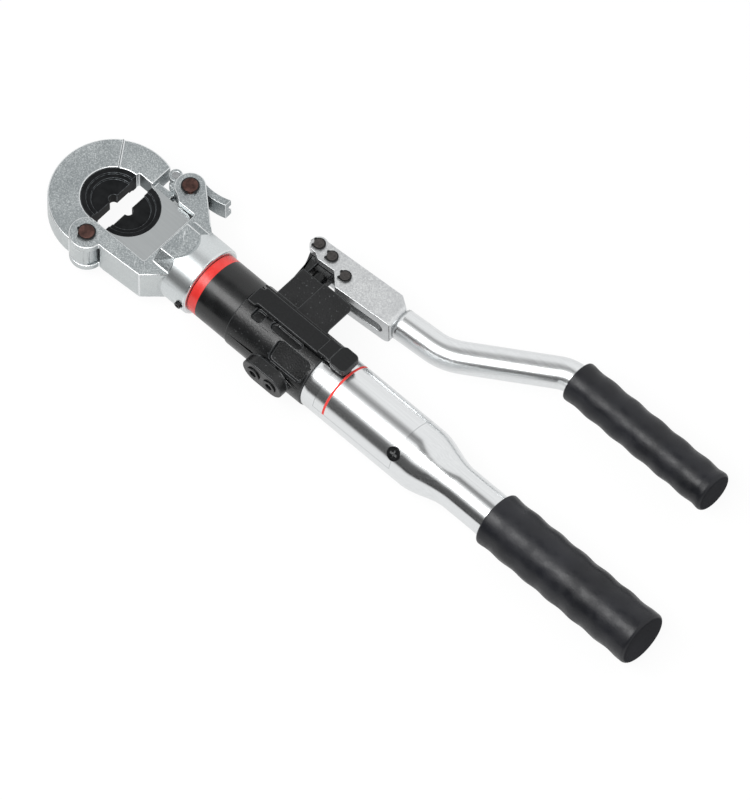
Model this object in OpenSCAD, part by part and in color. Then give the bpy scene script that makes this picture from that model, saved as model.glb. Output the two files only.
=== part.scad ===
// Hand pumped hydraulic crimping tool, lying on its side.
// Millimetres. The origin is the crimp axis: the middle of the fixed die's parting face.
// +X runs from the head to the grip, +Y points to the pump lever and +Z points up.

/* [Dies] */
// Outer diameter of the die set
die_d = 43; // [41:0.5:44]
// Thickness of the die's rim
die_rim_t = 16; // [14:0.5:16]
// Thickness of the die's inner step
die_step_t = 13; // [11:0.5:13.5]
// Thickness of the die's web
die_web_t = 10; // [8:0.5:10.5]
// Width of the die's rim
die_rim_w = 3.6; // [3:0.2:4.5]
// Width of the die's inner step
die_step_w = 3.2; // [2:0.2:4]
// Radius of the crimp groove in each parting face
groove_r = 3.2; // [2:0.2:6]
// Gap between the open dies, which is the ram's stroke
jaw_gap = 13.2; // [12:0.2:15]

/* [Upper jaw] */
// Outer radius of the jaw
jaw_outer_r = 43; // [41:0.5:45]
// Thickness of the jaw
jaw_t = 17.5; // [16:0.5:18]
// Where the jaw's latch leg ends along the tool
jaw_leg_x = 12; // [11:0.5:12.5]
// Angle of the jaw's machined step about the crimp axis
jaw_step_angle = 124.7; // [110:0.5:140]
// Depth of the jaw's machined step
jaw_step = 0.8; // [0.4:0.1:1.5]
// Thickness of the jaw's hook tongue
tongue_t = 7.4; // [6:0.2:7.6]
// Length of the tongue's lip below the catch
lip_t = 4.6; // [3:0.2:5]
// How far the lip reaches past the catch pin's centre
lip_over = 1; // [0.4:0.1:1.4]

/* [Jaw hinge and latch] */
// Hinge pin's place along the tool
hinge_x = 8.6; // [8:0.2:9.4]
// Hinge pin's distance from the tool's axis
hinge_y = 34; // [33:0.5:36]
// Radius of the jaw's hinge boss
hinge_boss_r = 10.3; // [9:0.1:10.4]
// Radius of the hinge boss on its outer side
hinge_lobe_r = 11.4; // [10.4:0.1:11.6]
// Diameter of the head's two pins
head_pin_d = 10.5; // [8:0.5:11]
// Latch pin's place along the tool
latch_x = 33.3; // [33:0.1:35]
// Latch pin's distance from the tool's axis
latch_y = 37.2; // [36.5:0.1:38]
// Distance from the latch pin to its catch pin
latch_reach = 15; // [14:0.2:15.6]
// Direction of the catch pin from the latch pin, released
latch_rest_angle = 172; // [170:1:174]
// Turn of the latch from released to hooked
latch_turn = 26; // [24:1:28]
// Radius of the catch pin
catch_r = 2.5; // [2:0.1:2.8]
// Thickness of each latch cheek
latch_cheek_t = 4.4; // [3.5:0.1:4.4]
// Width of the latch over both cheeks
latch_w = 17; // [16:0.5:17]
// Radius of the latch's hub
latch_hub_r = 8.4; // [7.5:0.1:9]
// Length of the web between the latch's hub and nose
latch_web_l = 12; // [8:0.5:12.5]
// Width of the latch's web towards the ram
latch_web_w = 8; // [4:0.5:8.4]
// Radius of the curve along the finger piece
finger_r = 40; // [34:1:46]
// Thickness of the finger piece
finger_t = 5; // [4:0.2:6]
// Where the finger piece ends along the tool
finger_end_x = 57.5; // [52:0.5:62]
// Width of the groove along the finger piece
finger_groove_w = 5; // [3:0.5:7]
// Wire of the latch's torsion spring
latch_wire = 1.2; // [1:0.1:1.3]
// Turns of the latch's torsion spring
latch_coils = 3.5; // [2.5:0.5:3.5]

/* [Fork] */
// Thickness of the fork over both ears
fork_t = 28.5; // [26:0.5:32]
// Radius of the fork's hinge ears
ear_r = 11.8; // [11:0.2:13]
// Radius of the fork's latch ears
latch_ear_r = 10.4; // [9.5:0.1:11]
// Where the throat ends along the tool
throat_x = 50; // [49:0.5:54]
// Where the fork's root ends along the tool
root_x = 70; // [67:0.5:72]
// Thickness of the fork's root over its flats
root_t = 44.4; // [42:0.2:46]
// Width of the flats on the fork's root
root_flat_w = 25; // [20:1:30]
// Outer diameter of the swivel collar
collar_d = 51.2; // [50:0.2:58]
// Length of the swivel collar behind the fork's root
collar_l = 17; // [16:0.5:22]
// Bevel on the collar's rear edge
collar_bevel = 1; // [0.5:0.1:2]
// How far the root's flats start behind the throat
root_lead = 4; // [1:0.5:5]
// Radius of the round end of the root's broad flats
flat_arc_r = 20.2; // [18:0.2:26]
// Radius of the round end of the root's sloping flats
facet_arc_r = 40; // [30:1:50]
// How far the sloping flats end ahead of the broad ones
facet_back = 2.6; // [1:0.2:4]
// Depth of the ear slot at the hinge, measured past the boss
ear_slot_gap = 2; // [1:0.2:3]
// Where the latch slot ends along the tool
latch_slot_x = 46; // [44:0.5:48]

/* [Ram] */
// Width of the ram head
ram_w = 46.6; // [45.4:0.2:48]
// Thickness of the ram head
ram_t = 18; // [16:0.5:20]
// Radius of the ram head's lower corners
ram_corner_r = 6; // [3:0.5:9]
// Diameter of the ram's rod
rod_d = 18; // [14:0.5:20]
// Diameter of the rod's spigot in the ram head
rod_spigot_d = 12; // [8:0.5:12]
// Length of the rod's spigot in the ram head
rod_spigot_l = 5.7; // [4:0.1:7]
// Diameter of the piston
piston_d = 29; // [26:0.5:30]
// Length of the piston
piston_l = 10; // [8:0.5:12]
// Wire of the return spring
return_wire = 3; // [2:0.1:3]
// Turns of the return spring
return_coils = 7; // [5:1:8]

/* [Cylinder] */
// Outer diameter of the cylinder
cylinder_d = 44.4; // [43:0.2:45]
// Where the cylinder ends along the tool
cylinder_end_x = 121; // [118:0.5:124]
// Diameter of the cylinder's swivel spigot
swivel_d = 40; // [38:0.5:42]
// Depth of the set screw's groove in the swivel spigot
swivel_groove = 1.6; // [1:0.1:2]
// Width of the set screw's groove
swivel_groove_w = 5.6; // [5.4:0.1:6]
// Distance from the collar's end to the set screw
set_screw_back = 4; // [3.6:0.1:5]
// Diameter of the set screw
set_screw_d = 5; // [4:0.5:5]
// How far the set screw stands out of the collar
set_screw_out = 2; // [1:0.5:3]
// Thickness of the cylinder's front wall
front_wall = 10; // [8:0.5:12]
// Diameter of the cylinder's rear spigot
rear_spigot_d = 34; // [33:0.5:36]
// Length of the cylinder's rear spigot
rear_spigot_l = 8; // [6:0.5:10]
// Thickness of the label film
label_t = 0.3; // [0.2:0.05:0.4]
// Length of the front label band
front_band_l = 7; // [5:0.5:12]

/* [Pump body] */
// Diameter of the pump body
body_d = 46.6; // [45.6:0.2:48]
// Where the pump body ends along the tool
body_end_x = 188; // [186:0.5:192]
// How far the flat shoulder lies below the barrel's top
shoulder_step = 2.3; // [1.8:0.1:4.3]
// How far the shoulder reaches to the lever side
shoulder_y = 15.6; // [15:0.2:18]
// Top of the pump towers
tower_y = 44; // [42:0.5:46]
// Front of the plunger tower along the tool
tower_x = 127.8; // [127:0.1:128]
// Length of the plunger tower along the tool
plunger_tower_l = 20.2; // [18:0.2:22]
// Thickness of the plunger tower
plunger_tower_t = 26; // [22:0.5:28]
// Length of the valve tower along the tool
valve_tower_l = 25.5; // [20:0.5:28]
// Thickness of the valve tower
valve_tower_t = 32; // [24:0.5:33]
// Lean of the valve tower's rear wall over its thickness
tower_draft = 15; // [0:1:18]
// Radius of the valve tower's outer corner
tower_corner = 4; // [2:0.5:5]
// Radius of the fillet at the valve tower's foot
tower_fillet = 6; // [3:0.5:7]
// Thickness of the lever's lug
lug_t = 11.8; // [10:0.2:11.8]
// Radius of the lug round the fulcrum pin
lug_r = 5.5; // [5:0.1:5.8]
// Reach of the valve boss from the tool's axis
boss_y = 29.5; // [28:0.5:34]
// Radius of the valve boss's round ends
boss_r = 10; // [8:0.5:11]
// Front valve plug's place along the tool
valve_x = 153.5; // [152:0.5:156]
// Spacing of the two valve plugs
valve_pitch = 14; // [13:0.5:16]
// Diameter of the valve plugs
valve_plug_d = 10; // [8:0.5:11]
// Length of the valve plugs
valve_plug_l = 8.8; // [7:0.2:10]
// How far the valve plugs stand out
valve_plug_out = 1; // [0.5:0.1:1.5]
// Width across the flats of the plug's socket
valve_key = 5; // [4:0.5:6]
// Diameter of the valve balls
valve_ball_d = 6; // [5:0.2:6]
// Wire of the valve springs
valve_wire = 0.9; // [0.7:0.1:1]
// Turns of the valve springs
valve_coils = 4; // [3:1:5]
// Length of the recessed panel on the pump body
panel_l = 28; // [20:1:30]
// Width of the recessed panel on the pump body
panel_w = 15; // [12:0.5:17]
// Depth of the recessed panel on the pump body
panel_depth = 3.4; // [2:0.2:4]
// Length of the scoop beside the release lever
scoop_l = 26; // [20:1:30]
// Width of the scoop beside the release lever
scoop_w = 5.2; // [3:0.2:6]
// Side of the small bare recess near the body's front
mark_l = 8; // [6:0.5:9]

/* [Plunger] */
// Plunger's place along the tool
plunger_x = 136; // [135.6:0.1:136.4]
// Diameter of the plunger
plunger_d = 10; // [8:0.5:10]
// Bottom of the plunger with the lever closed
plunger_foot_y = 12; // [10.5:0.5:14]
// Width of the plunger's claw
claw_w = 11.8; // [11:0.2:12.4]
// Thickness of the plunger's claw
claw_t = 11.4; // [10:0.2:11.6]
// Height of the claw's shoulder above the pump towers
claw_lift = 8; // [7:0.5:9]
// Thickness of the claw's upper lip
claw_lip = 2.8; // [2:0.1:3]
// Clearance round the pin inside the claw
claw_play = 0.5; // [0.45:0.05:0.6]

/* [Pump lever] */
// Fulcrum pin's place along the tool
fulcrum_x = 123; // [122.6:0.1:123.2]
// Fulcrum pin's distance from the tool's axis
fulcrum_y = 64; // [63.5:0.1:64.5]
// Distance along the tool from the fulcrum to the plunger pin
pin_step = 12.5; // [12.2:0.1:12.8]
// Drop from the fulcrum to the plunger pin
pin_drop = 1.2; // [0.8:0.1:1.6]
// Full swing of the pump lever
lever_swing = 45; // [35:1:45]
// Diameter of the lever's pins
lever_pin_d = 7; // [6:0.2:7]
// Thickness of the lever bracket
bracket_t = 24.5; // [23:0.5:26]
// Width of the slot in the bracket's nose
nose_slot_w = 12.4; // [12.2:0.1:13]
// Width of the groove under the bracket
groove_w = 9; // [7:0.5:10]
// Height of the bracket above the fulcrum pin
bracket_up = 5.2; // [4.8:0.1:6]
// Depth of the bracket's nose below the fulcrum pin
nose_down = 9; // [8:0.5:10]
// Depth of the bracket's heel below the fulcrum pin
heel_down = 18; // [16:0.5:18.5]
// Length of the bracket's nose behind the fulcrum pin
nose_back = 20; // [18:0.5:22]
// Length of the slope from the nose to the heel
heel_slope_l = 8; // [6:0.5:12]
// Bevel along the bracket's upper rear corner
end_bevel_l = 8; // [5:0.5:12]
// Drop of the bracket's upper rear corner
end_bevel_h = 6; // [3:0.5:8]
// Radius of the bracket's rear corner on the upper side
heel_corner = 3; // [2:0.5:6]
// Radius of the bracket's rear corner on the underside
heel_round = 7; // [3:0.5:8]
// Solid length between the groove's end and the tube
groove_back = 11; // [8:0.5:16]
// Length of the open slot behind the fulcrum pin
nose_open_l = 27.5; // [26.5:0.5:32]
// Slope of the bracket and the tube's first run
lever_slope = 4; // [2:0.5:6]
// Length of the bracket from the fulcrum to the tube
bracket_l = 74; // [70:0.5:80]
// Outer diameter of the lever tube
lever_tube_d = 21.5; // [20:0.5:24]
// Wall of the lever tube
lever_tube_wall = 2; // [1.5:0.1:3]
// Length of the lever tube's first run
lever_run_1 = 26.5; // [24:0.5:40]
// Length of the lever tube's slanting run
lever_run_2 = 63.5; // [55:0.5:75]
// Slant of the lever tube between its bends
lever_slant = 33.5; // [30:0.5:36]
// Radius of the lever tube's first bend
bend_1_r = 40; // [30:1:60]
// Radius of the lever tube's second bend
bend_2_r = 24; // [18:1:40]
// Diameter of the lever grip
lever_grip_d = 29.4; // [26:0.2:32]
// Length of the lever grip
lever_grip_l = 121; // [100:1:130]

/* [Release lever] */
// Release lever pivot's place along the tool
release_x = 150; // [146:0.5:154]
// Release lever's middle across the tool
release_y = 5.4; // [5:0.1:6]
// Rocking angle of the release lever
release_press = 3; // [2:0.2:3]
// Width of the release bar
release_w = 13.3; // [11:0.1:13.5]
// Thickness of the release bar
release_t = 3.6; // [3:0.1:4.5]
// Width of the release lever's front head
release_head_w = 13; // [11:0.5:15]
// Length of the thumb pad along the tool
pad_l = 14.5; // [12:0.5:16]
// Width of the thumb pad
pad_w = 16.6; // [14:0.2:18]
// Thickness of the thumb pad
pad_t = 5; // [3:0.1:6]
// Where the thumb pad starts along the tool
pad_x = 193.6; // [193:0.2:196]
// Diameter of the release lever's pivot pin
release_pin_d = 4; // [3:0.2:4.4]
// Distance along the tool from the release pivot to the valve stem
stem_step = 22; // [18:0.5:28]
// Diameter of the release valve stem
stem_d = 5; // [4:0.2:6]
// Wire of the release spring
release_wire = 0.9; // [0.7:0.1:1]
// Turns of the release spring
release_coils = 5; // [4:1:6]

/* [Reservoir and grip] */
// Diameter of the reservoir tube
reservoir_d = 45; // [43.5:0.5:46]
// Wall of the reservoir tube
reservoir_wall = 2.4; // [2:0.1:2.6]
// Where the reservoir tube starts to narrow
taper_x = 275; // [270:1:285]
// Where the reservoir tube's neck starts
neck_x = 309; // [300:1:320]
// Diameter of the reservoir tube's neck
neck_d = 31.4; // [30:0.2:34]
// Where the body grip starts
grip_x = 341; // [330:1:345]
// Length of the body grip
grip_l = 130; // [120:0.5:150]
// Diameter of the body grip
grip_d = 39; // [37:0.5:44]
// Height of the grips' waves
wave_h = 0.7; // [0.3:0.1:1.2]
// Spacing of the grips' waves
wave_pitch = 20.6; // [16:0.2:26]
// Thickness of the grips' closed ends
grip_end_t = 5.5; // [3:0.5:8]
// Radius of the grips' end edges
grip_edge_r = 3; // [1:0.5:4]
// Filler plug's place along the tool
filler_x = 266; // [240:1:268]
// Filler plug's angle round the tube
filler_angle = 138; // [100:1:170]
// Diameter of the filler plug's head
filler_d = 10; // [8:0.5:12]
// Diameter of the filler plug's shank
filler_shank_d = 6; // [4:0.5:6]
// Diameter of the oil bladder
bladder_d = 34; // [30:0.5:37]
// Wall of the oil bladder
bladder_wall = 1.6; // [1:0.1:2.4]
// How far the oil bladder's end stays ahead of the neck
bladder_room = 17.5; // [16:0.5:30]

/* [Fits] */
// Running clearance round a pin or a shaft
fit = 0.05; // [0.03:0.01:0.1]
// Clearance between faces that slide past each other
slide_gap = 0.3; // [0.2:0.05:0.4]
// Clearance between the ram head and the jaw's legs
leg_gap = 0.6; // [0.4:0.1:0.8]

/* [Hidden] */
$fn = 72;
over = 1;
edge = 1;
steel_grey = "#a9afb1";
oxide_black = "#232426";
casting_black = "#2b2c2e";
rubber_grey = "#2e2f31";
pin_brown = "#3a2b27";

// Head
seat_r = die_d / 2 + fit;
ram_half = ram_w / 2;
throat_half = ram_half + slide_gap;
leg_half = ram_half + leg_gap;
pin_r = head_pin_d / 2;
hinge_at = [hinge_x, -hinge_y];
latch_at = [latch_x, latch_y];
slot_half = jaw_t / 2 + slide_gap;
catch_rest = latch_at + latch_reach * [cos(latch_rest_angle), sin(latch_rest_angle)];
hook_angle = latch_rest_angle + latch_turn;
hook_at = latch_at + latch_reach * [cos(hook_angle), sin(hook_angle)];
hook_floor_y = hook_at[1] - catch_r - slide_gap;
lip_x = hook_at[0] + catch_r + slide_gap;
latch_gap_half = latch_w / 2 - latch_cheek_t;
latch_bar_w = 8;
catch_wall = 2.1;
latch_nose_r = catch_r + catch_wall;
finger_low = [9.7, 7.6];
finger_at = latch_at + finger_low + [0, finger_r];
finger_root_x = latch_x + latch_hub_r - slide_gap;
finger_groove = 2;
spring_play = 0.5;
circlip_t = 1.2;
circlip_w = 0.9;
circlip_bite = 0.5;
circlip_ear_r = 1.1;
circlip_mouth = 40;
pin_bevel = 0.4;
pin_end = 0.7;
head_clip_z = fork_t / 2 + slide_gap / 2;
head_pin_half = head_clip_z + circlip_t + pin_end;
hinge_clip_turn = 225;
latch_clip_turn = -45;
lever_clip_turn = 200;
tongue_corner = 1.5;
hinge_slot_x = hinge_x + hinge_boss_r + ear_slot_gap;

// Fork outline on both sides of the throat
arm_w = 10;
arm_outer = throat_half + arm_w;
arm_tail = 5;
arm_lead = 3.6;
arm_x1 = throat_x + arm_tail;
arm_x0 = hinge_x + ear_r + arm_lead;
neck_dip = 1.8;
root_step = 4;
latch_arm_l = 14;
latch_arm_x = throat_x - latch_arm_l;
latch_arm_in = 7;
latch_arm_turn = 42;
latch_arm_end = [throat_x + latch_arm_l, throat_half + over];
collar_x1 = root_x + collar_l;
collar_x0 = throat_x + root_lead;
collar_r = collar_d / 2;
root_side = throat_half - root_step;
root_flat = root_t / 2;
facet_turn = atan2(root_flat - fork_t / 2, root_side - root_flat_w / 2);
facet_flat = root_flat_w / 2 * sin(facet_turn) + root_flat * cos(facet_turn);
run_out = 5;

// Cylinder and ram
ram_x0 = jaw_gap;
ram_x1 = throat_x - slide_gap;
rod_r = rod_d / 2;
piston_r = piston_d / 2;
cyl_r = cylinder_d / 2;
swivel_r = swivel_d / 2;
bore_r = piston_r + fit;
front_x = root_x + slide_gap;
bore_x0 = front_x + front_wall;
bore_x1 = cylinder_end_x + rear_spigot_l;
piston_x1 = bore_x1 - slide_gap;
piston_x0 = piston_x1 - piston_l;
seal_w = 3;
seal_depth = 2.5;
seal_x = (piston_x0 + piston_x1) / 2;
set_screw_x = collar_x1 - set_screw_back;
label_x0 = collar_x1 + slide_gap;
label_x1 = label_x0 + front_band_l;

// Pump
body_r = body_d / 2;
body_x0 = cylinder_end_x;
plunger_r = plunger_d / 2;
plunger_tower_x1 = tower_x + plunger_tower_l;
valve_tower_x1 = plunger_tower_x1 + valve_tower_l;
tower_half = valve_tower_t / 2;
tower_lean = atan2(tower_draft, valve_tower_t);
pump_seal_w = 3;
pump_seal_depth = 1.5;
pump_seal_down = 7;
pump_seal_y = tower_y - pump_seal_down;
fulcrum_at = [fulcrum_x, fulcrum_y];
plunger_pin_at = fulcrum_at + [pin_step, -pin_drop];
pin_arm = norm([pin_step, pin_drop]);
pin_rest_angle = -atan2(pin_drop, pin_step);
pin_top_angle = pin_rest_angle + lever_swing;
plunger_rise = pin_arm * (sin(pin_top_angle) - sin(pin_rest_angle));
pin_shift = pin_step - pin_arm * cos(pin_top_angle);
lever_pin_r = lever_pin_d / 2;
claw_half = lever_pin_r + claw_play;
claw_foot_y = tower_y + claw_lift;
claw_top_y = plunger_pin_at[1] + claw_half + claw_lip;
claw_x0 = plunger_x - claw_w / 2;
lug_tail = 1.7;
lug_right = tower_x + lug_tail;
lug_toe_step = [-0.5, -11];
lug_toe = fulcrum_at + lug_toe_step;
lug_heel_step = [-1, -3];
lug_heel = [tower_x, tower_y] + lug_heel_step;
lug_neck_drop = 4;
lug_neck = fulcrum_y - lug_neck_drop;
valve_play = 0.2;
valve_bore_r = valve_ball_d / 2 + valve_play;
valve_seat_y = -9;
plug_foot_y = -boss_y - valve_plug_out + valve_plug_l;
valve_spring_y = valve_seat_y - valve_ball_d - 4 * fit;
recess_z = body_r - shoulder_step;
panel_x = 171;
panel_turn = 40;
panel_corner = 3;
scoop_at = [159, -3.9];
scoop_depth = 2.8;
mark_at = [135.3, -5];
mark_depth = 3.4;
mark_corner = 1.8;
spigot_r = reservoir_d / 2 - reservoir_wall - fit;
spigot_l = 13;
spigot_groove_in = 5;
spigot_groove_x = body_end_x + spigot_groove_in;
spigot_groove = 1.2;
nose_r = 9;
nose_l = 7;
spigot_x1 = body_end_x + spigot_l;

// Lever
bracket_half = bracket_t / 2;
nose_r1 = bracket_up + edge;
lever_clip_z = bracket_half + slide_gap / 2;
lever_pin_half = lever_clip_z + circlip_t + pin_end;
stop_pin_step = [28.8, -6];
stop_pin_at = fulcrum_at + stop_pin_step;
tube_drop = 6.2;
tube_r = lever_tube_d / 2;
tube_bore_r = tube_r - lever_tube_wall;
tube_at = fulcrum_at + rot2([bracket_l + fit, -tube_drop], lever_slope);
tube_spigot_l = 20;
bend_swell = 0.1;

// Lever tube's corners, each worked out from the run before it
bend_1_at = tube_at + lever_run_1 * [cos(lever_slope), sin(lever_slope)];
bend_1_mid = bend_1_at + bend_1_r * [-sin(lever_slope), cos(lever_slope)];
run_2_at = bend_1_mid + bend_1_r * [sin(lever_slant), -cos(lever_slant)];
bend_2_at = run_2_at + lever_run_2 * [cos(lever_slant), sin(lever_slant)];
bend_2_mid = bend_2_at + bend_2_r * [sin(lever_slant), -cos(lever_slant)];
run_3_at = bend_2_mid + bend_2_r * [0, 1];
lever_run_3 = lever_grip_l - grip_end_t - slide_gap;

// Release lever
release_pin_r = release_pin_d / 2;
release_pin_sink = 2.5;
release_pin_z = recess_z - release_pin_sink;
recess_y = release_y - release_w / 2 - slide_gap;
recess_w = release_w + 2 * slide_gap;
release_arm = pad_x + pad_l - release_x;
bar_arm = body_end_x - release_x;
bar_z = recess_z + slide_gap + bar_arm * sin(release_press);
pad_z = reservoir_d / 2 + slide_gap + release_arm * sin(release_press);
release_head_in = 2;
release_head_x = body_x0 + release_head_in;
release_head_l = 7;
release_head_shift = 2.4;
head_corner = 1.5;
pad_corner = 4;
bar_x1 = body_end_x - over;
release_lug_r = 4;
release_lug_w = 8;
stem_r = stem_d / 2;
stem_x = release_x + stem_step;
stem_top = bar_z - slide_gap;
stem_foot = 8;
stem_bore_z = -4;

// Reservoir and grips
res_r = reservoir_d / 2;
neck_r = neck_d / 2;
tube_end_x = grip_x + grip_l - grip_end_t - slide_gap;
taper_steps = 12;
wave_steps = 8;
wave_lead = 5;
rim_turn = 15;
filler_sink = 0.9;
filler_flat = res_r - filler_sink;
filler_slot = [0.6 * filler_d, 1.4, 1.6];
filler_head_t = 1.6;

function rot2(p, a) = [p[0] * cos(a) - p[1] * sin(a), p[0] * sin(a) + p[1] * cos(a)];
function ring_point(r, a) = r * [cos(a), sin(a)];

// Turns that lie along Z onto the tool's X or Y axis
module along_x() { rotate([0, 90, 0]) children(); }
module along_y() { rotate([-90, 0, 0]) children(); }

// A plate of the given outline, centred on the tool's middle plane
module plate(t) { linear_extrude(height = t, center = true) children(); }

module rod_x(r, x0, x1) { translate([x0, 0, 0]) along_x() cylinder(r = r, h = x1 - x0); }

module box(low, high) { translate(low) cube(high - low); }

// A flat rectangle with round corners, from its middle
module round_rect(size, r) {
    square([size[0] - 2 * r, size[1]], center = true);
    square([size[0], size[1] - 2 * r], center = true);
    for (sx = [-1, 1], sy = [-1, 1])
        translate([sx * (size[0] / 2 - r), sy * (size[1] / 2 - r)]) circle(r);
}

// A pin with a retaining groove near each end
module grooved_pin(r, half, groove_z) {
    g0 = groove_z - fit;
    g1 = groove_z + circlip_t + fit;
    groove_at_r = r - circlip_bite - fit;
    end_r = r - pin_bevel;
    side = half - pin_bevel;
    rotate_extrude() polygon([[0, -half], [end_r, -half], [r, -side], [r, -g1],
        [groove_at_r, -g1], [groove_at_r, -g0], [r, -g0], [r, g0], [groove_at_r, g0],
        [groove_at_r, g1], [r, g1], [r, side], [end_r, half], [0, half]]);
}

// A retaining ring with its open side and two ears, lying on the plane z = 0
module circlip(r, turn) {
    ring_r = r + circlip_w;
    half = circlip_mouth / 2;
    ear_turn = half + asin(circlip_ear_r / ring_r);
    rotate(turn) linear_extrude(height = circlip_t) {
        difference() {
            circle(ring_r);
            circle(r - circlip_bite);
            polygon([[0, 0], ring_point(2 * ring_r, -half), ring_point(2 * ring_r, half)]);
        }
        for (side = [-1, 1])
            translate(ring_point(ring_r - slide_gap, side * ear_turn)) circle(circlip_ear_r);
    }
}

// Both retaining rings of one pin
module circlip_pair(r, z, turn) {
    translate([0, 0, z]) circlip(r, turn);
    mirror([0, 0, 1]) translate([0, 0, z]) circlip(r, turn);
}

// A wire wound along Z from z = 0, as one unbroken tube of six sides
coil_sides = 6;
coil_rings = 8;
function coil_point(r, pitch, i) =
    let (a = 360 * i / coil_rings) [r * cos(a), r * sin(a), pitch * i / coil_rings];
function coil_skin(r, wire, pitch, i, k) =
    let (a = 360 * i / coil_rings, b = 360 * k / coil_sides, w = wire / 2)
    [(r + w * cos(b)) * cos(a), (r + w * cos(b)) * sin(a), pitch * i / coil_rings + w * sin(b)];
function coil_gap(r, wire, pitch, turns) =
    min([for (i = [0 : coil_rings], j = [i + coil_rings / 2 : turns * coil_rings])
        norm(coil_point(r, pitch, i) - coil_point(r, pitch, j)) - wire]);
module coil(name, r, wire, height, turns) {
    pitch = (height - wire) / turns;
    last = round(turns * coil_rings);
    echo(str(name, " least gap to itself ", coil_gap(r, wire, pitch, turns)));
    points = [for (i = [0 : last], k = [0 : coil_sides - 1]) coil_skin(r, wire, pitch, i, k)];
    sides = [for (i = [0 : last - 1], k = [0 : coil_sides - 1])
        let (n = (k + 1) % coil_sides, a = i * coil_sides, b = a + coil_sides)
        each [[a + k, b + k, b + n], [a + k, b + n, a + n]]];
    start = [for (k = [1 : coil_sides - 2]) [0, k, k + 1]];
    end_at = last * coil_sides;
    finish = [for (k = [1 : coil_sides - 2]) [end_at, end_at + k + 1, end_at + k]];
    translate([0, 0, wire / 2]) polyhedron(points, concat(sides, start, finish));
}

// Flat outline of the fork: two arms with round ears, joined at the root
module fork_outline() {
    difference() {
        union() {
            translate(hinge_at) circle(ear_r);
            translate(latch_at) circle(latch_ear_r);
            polygon([[hinge_x, -throat_half], [throat_x, -throat_half], [throat_x, 0], [root_x, 0],
                [root_x, -root_side], [arm_x1, -arm_outer], [arm_x0, -arm_outer - neck_dip], hinge_at]);
            polygon([[throat_x, throat_half], [latch_arm_x, throat_half],
                latch_at - [latch_arm_in, latch_arm_in], latch_at,
                latch_at + ring_point(latch_ear_r, latch_arm_turn), latch_arm_end,
                [root_x, root_side], [root_x, 0], [throat_x, 0]]);
        }
        translate([-throat_x, -throat_half]) square([2 * throat_x, 2 * throat_half]);
    }
}

// Cutter for one flat on the collar's front end, with a round sloping run-out
module flat_cutter(end_x, arc_r, height) {
    translate([end_x - arc_r, 0, height]) cylinder(r1 = arc_r, r2 = arc_r + run_out, h = run_out);
}

// Round collar with six flats at its front end
module swivel_collar() {
    difference() {
        along_x() rotate_extrude() polygon([[0, collar_x0], [collar_r, collar_x0],
            [collar_r, collar_x1 - collar_bevel], [collar_r - collar_bevel, collar_x1], [0, collar_x1]]);
        for (side = [0, 1]) mirror([0, 0, side]) {
            flat_cutter(root_x, flat_arc_r, root_flat);
            for (turn = [-facet_turn, facet_turn])
                rotate([turn, 0, 0]) flat_cutter(root_x - facet_back, facet_arc_r, facet_flat);
        }
    }
}

// Cast steel fork that carries the jaw, the latch and the ram, and swivels on the cylinder
module fork_yoke() {
    color(steel_grey) difference() {
        union() {
            plate(fork_t) fork_outline();
            swivel_collar();
        }
        box([-throat_x, -2 * ear_r - hinge_y, -slot_half], [hinge_slot_x, -throat_half + over, slot_half]);
        box([-throat_x, throat_half - over, -slot_half], [latch_slot_x, 2 * hinge_y, slot_half]);
        for (at = [hinge_at, latch_at])
            translate(at) cylinder(r = pin_r + fit, h = 2 * fork_t, center = true);
        rod_x(rod_r + fit, throat_x - over, root_x + over);
        rod_x(swivel_r + fit, root_x, collar_x1 + over);
        translate([set_screw_x, 0, 0]) rotate([90, 0, 0])
            cylinder(r = set_screw_d / 2 + fit, h = collar_d);
    }
}

// Flat outline of the jaw: a round arch with a hinge boss on one leg
module jaw_outline() {
    difference() {
        union() {
            intersection() {
                circle(jaw_outer_r);
                union() {
                    translate([-jaw_outer_r, 0]) square([jaw_outer_r + jaw_leg_x, jaw_outer_r]);
                    translate([-jaw_outer_r, -jaw_outer_r]) square([jaw_outer_r + hinge_x, jaw_outer_r]);
                }
            }
            translate(hinge_at) circle(hinge_boss_r);
            translate(hinge_at) intersection() {
                circle(hinge_lobe_r);
                polygon(concat([[0, 0]], [for (a = [-180 : 45 : -45]) ring_point(2 * hinge_lobe_r, a)]));
            }
        }
        circle(seat_r);
        translate([0, -leg_half]) square([throat_x, 2 * leg_half]);
        translate(hinge_at) circle(pin_r + fit);
    }
}

// Swinging upper jaw, with the hooked tongue that the latch's catch pin holds
module upper_jaw() {
    far = 2 * jaw_outer_r;
    color(steel_grey) {
        difference() {
            plate(jaw_t) jaw_outline();
            for (side = [0, 1]) mirror([0, 0, side])
                translate([0, 0, jaw_t / 2 - jaw_step]) linear_extrude(height = jaw_t)
                    polygon([[0, 0], ring_point(far, jaw_step_angle), [far, far], [far, 0]]);
        }
        plate(tongue_t) polygon([[jaw_leg_x - over, leg_half], [jaw_leg_x - over, hook_floor_y],
            [lip_x, hook_floor_y], [lip_x, hook_at[1] + lip_over],
            [lip_x + lip_t / 2, hook_at[1] + lip_over], [lip_x + lip_t, hook_floor_y],
            [lip_x + lip_t, leg_half + tongue_corner], [lip_x + lip_t - tongue_corner, leg_half]]);
    }
}

module hinge_pin() {
    color(pin_brown) translate(hinge_at) grooved_pin(pin_r, head_pin_half, head_clip_z);
}

module latch_pin() {
    color(pin_brown) translate(latch_at) grooved_pin(pin_r, head_pin_half, head_clip_z);
}

module head_circlips() {
    color(oxide_black) {
        translate(hinge_at) circlip_pair(pin_r, head_clip_z, hinge_clip_turn);
        translate(latch_at) circlip_pair(pin_r, head_clip_z, latch_clip_turn);
    }
}

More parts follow.
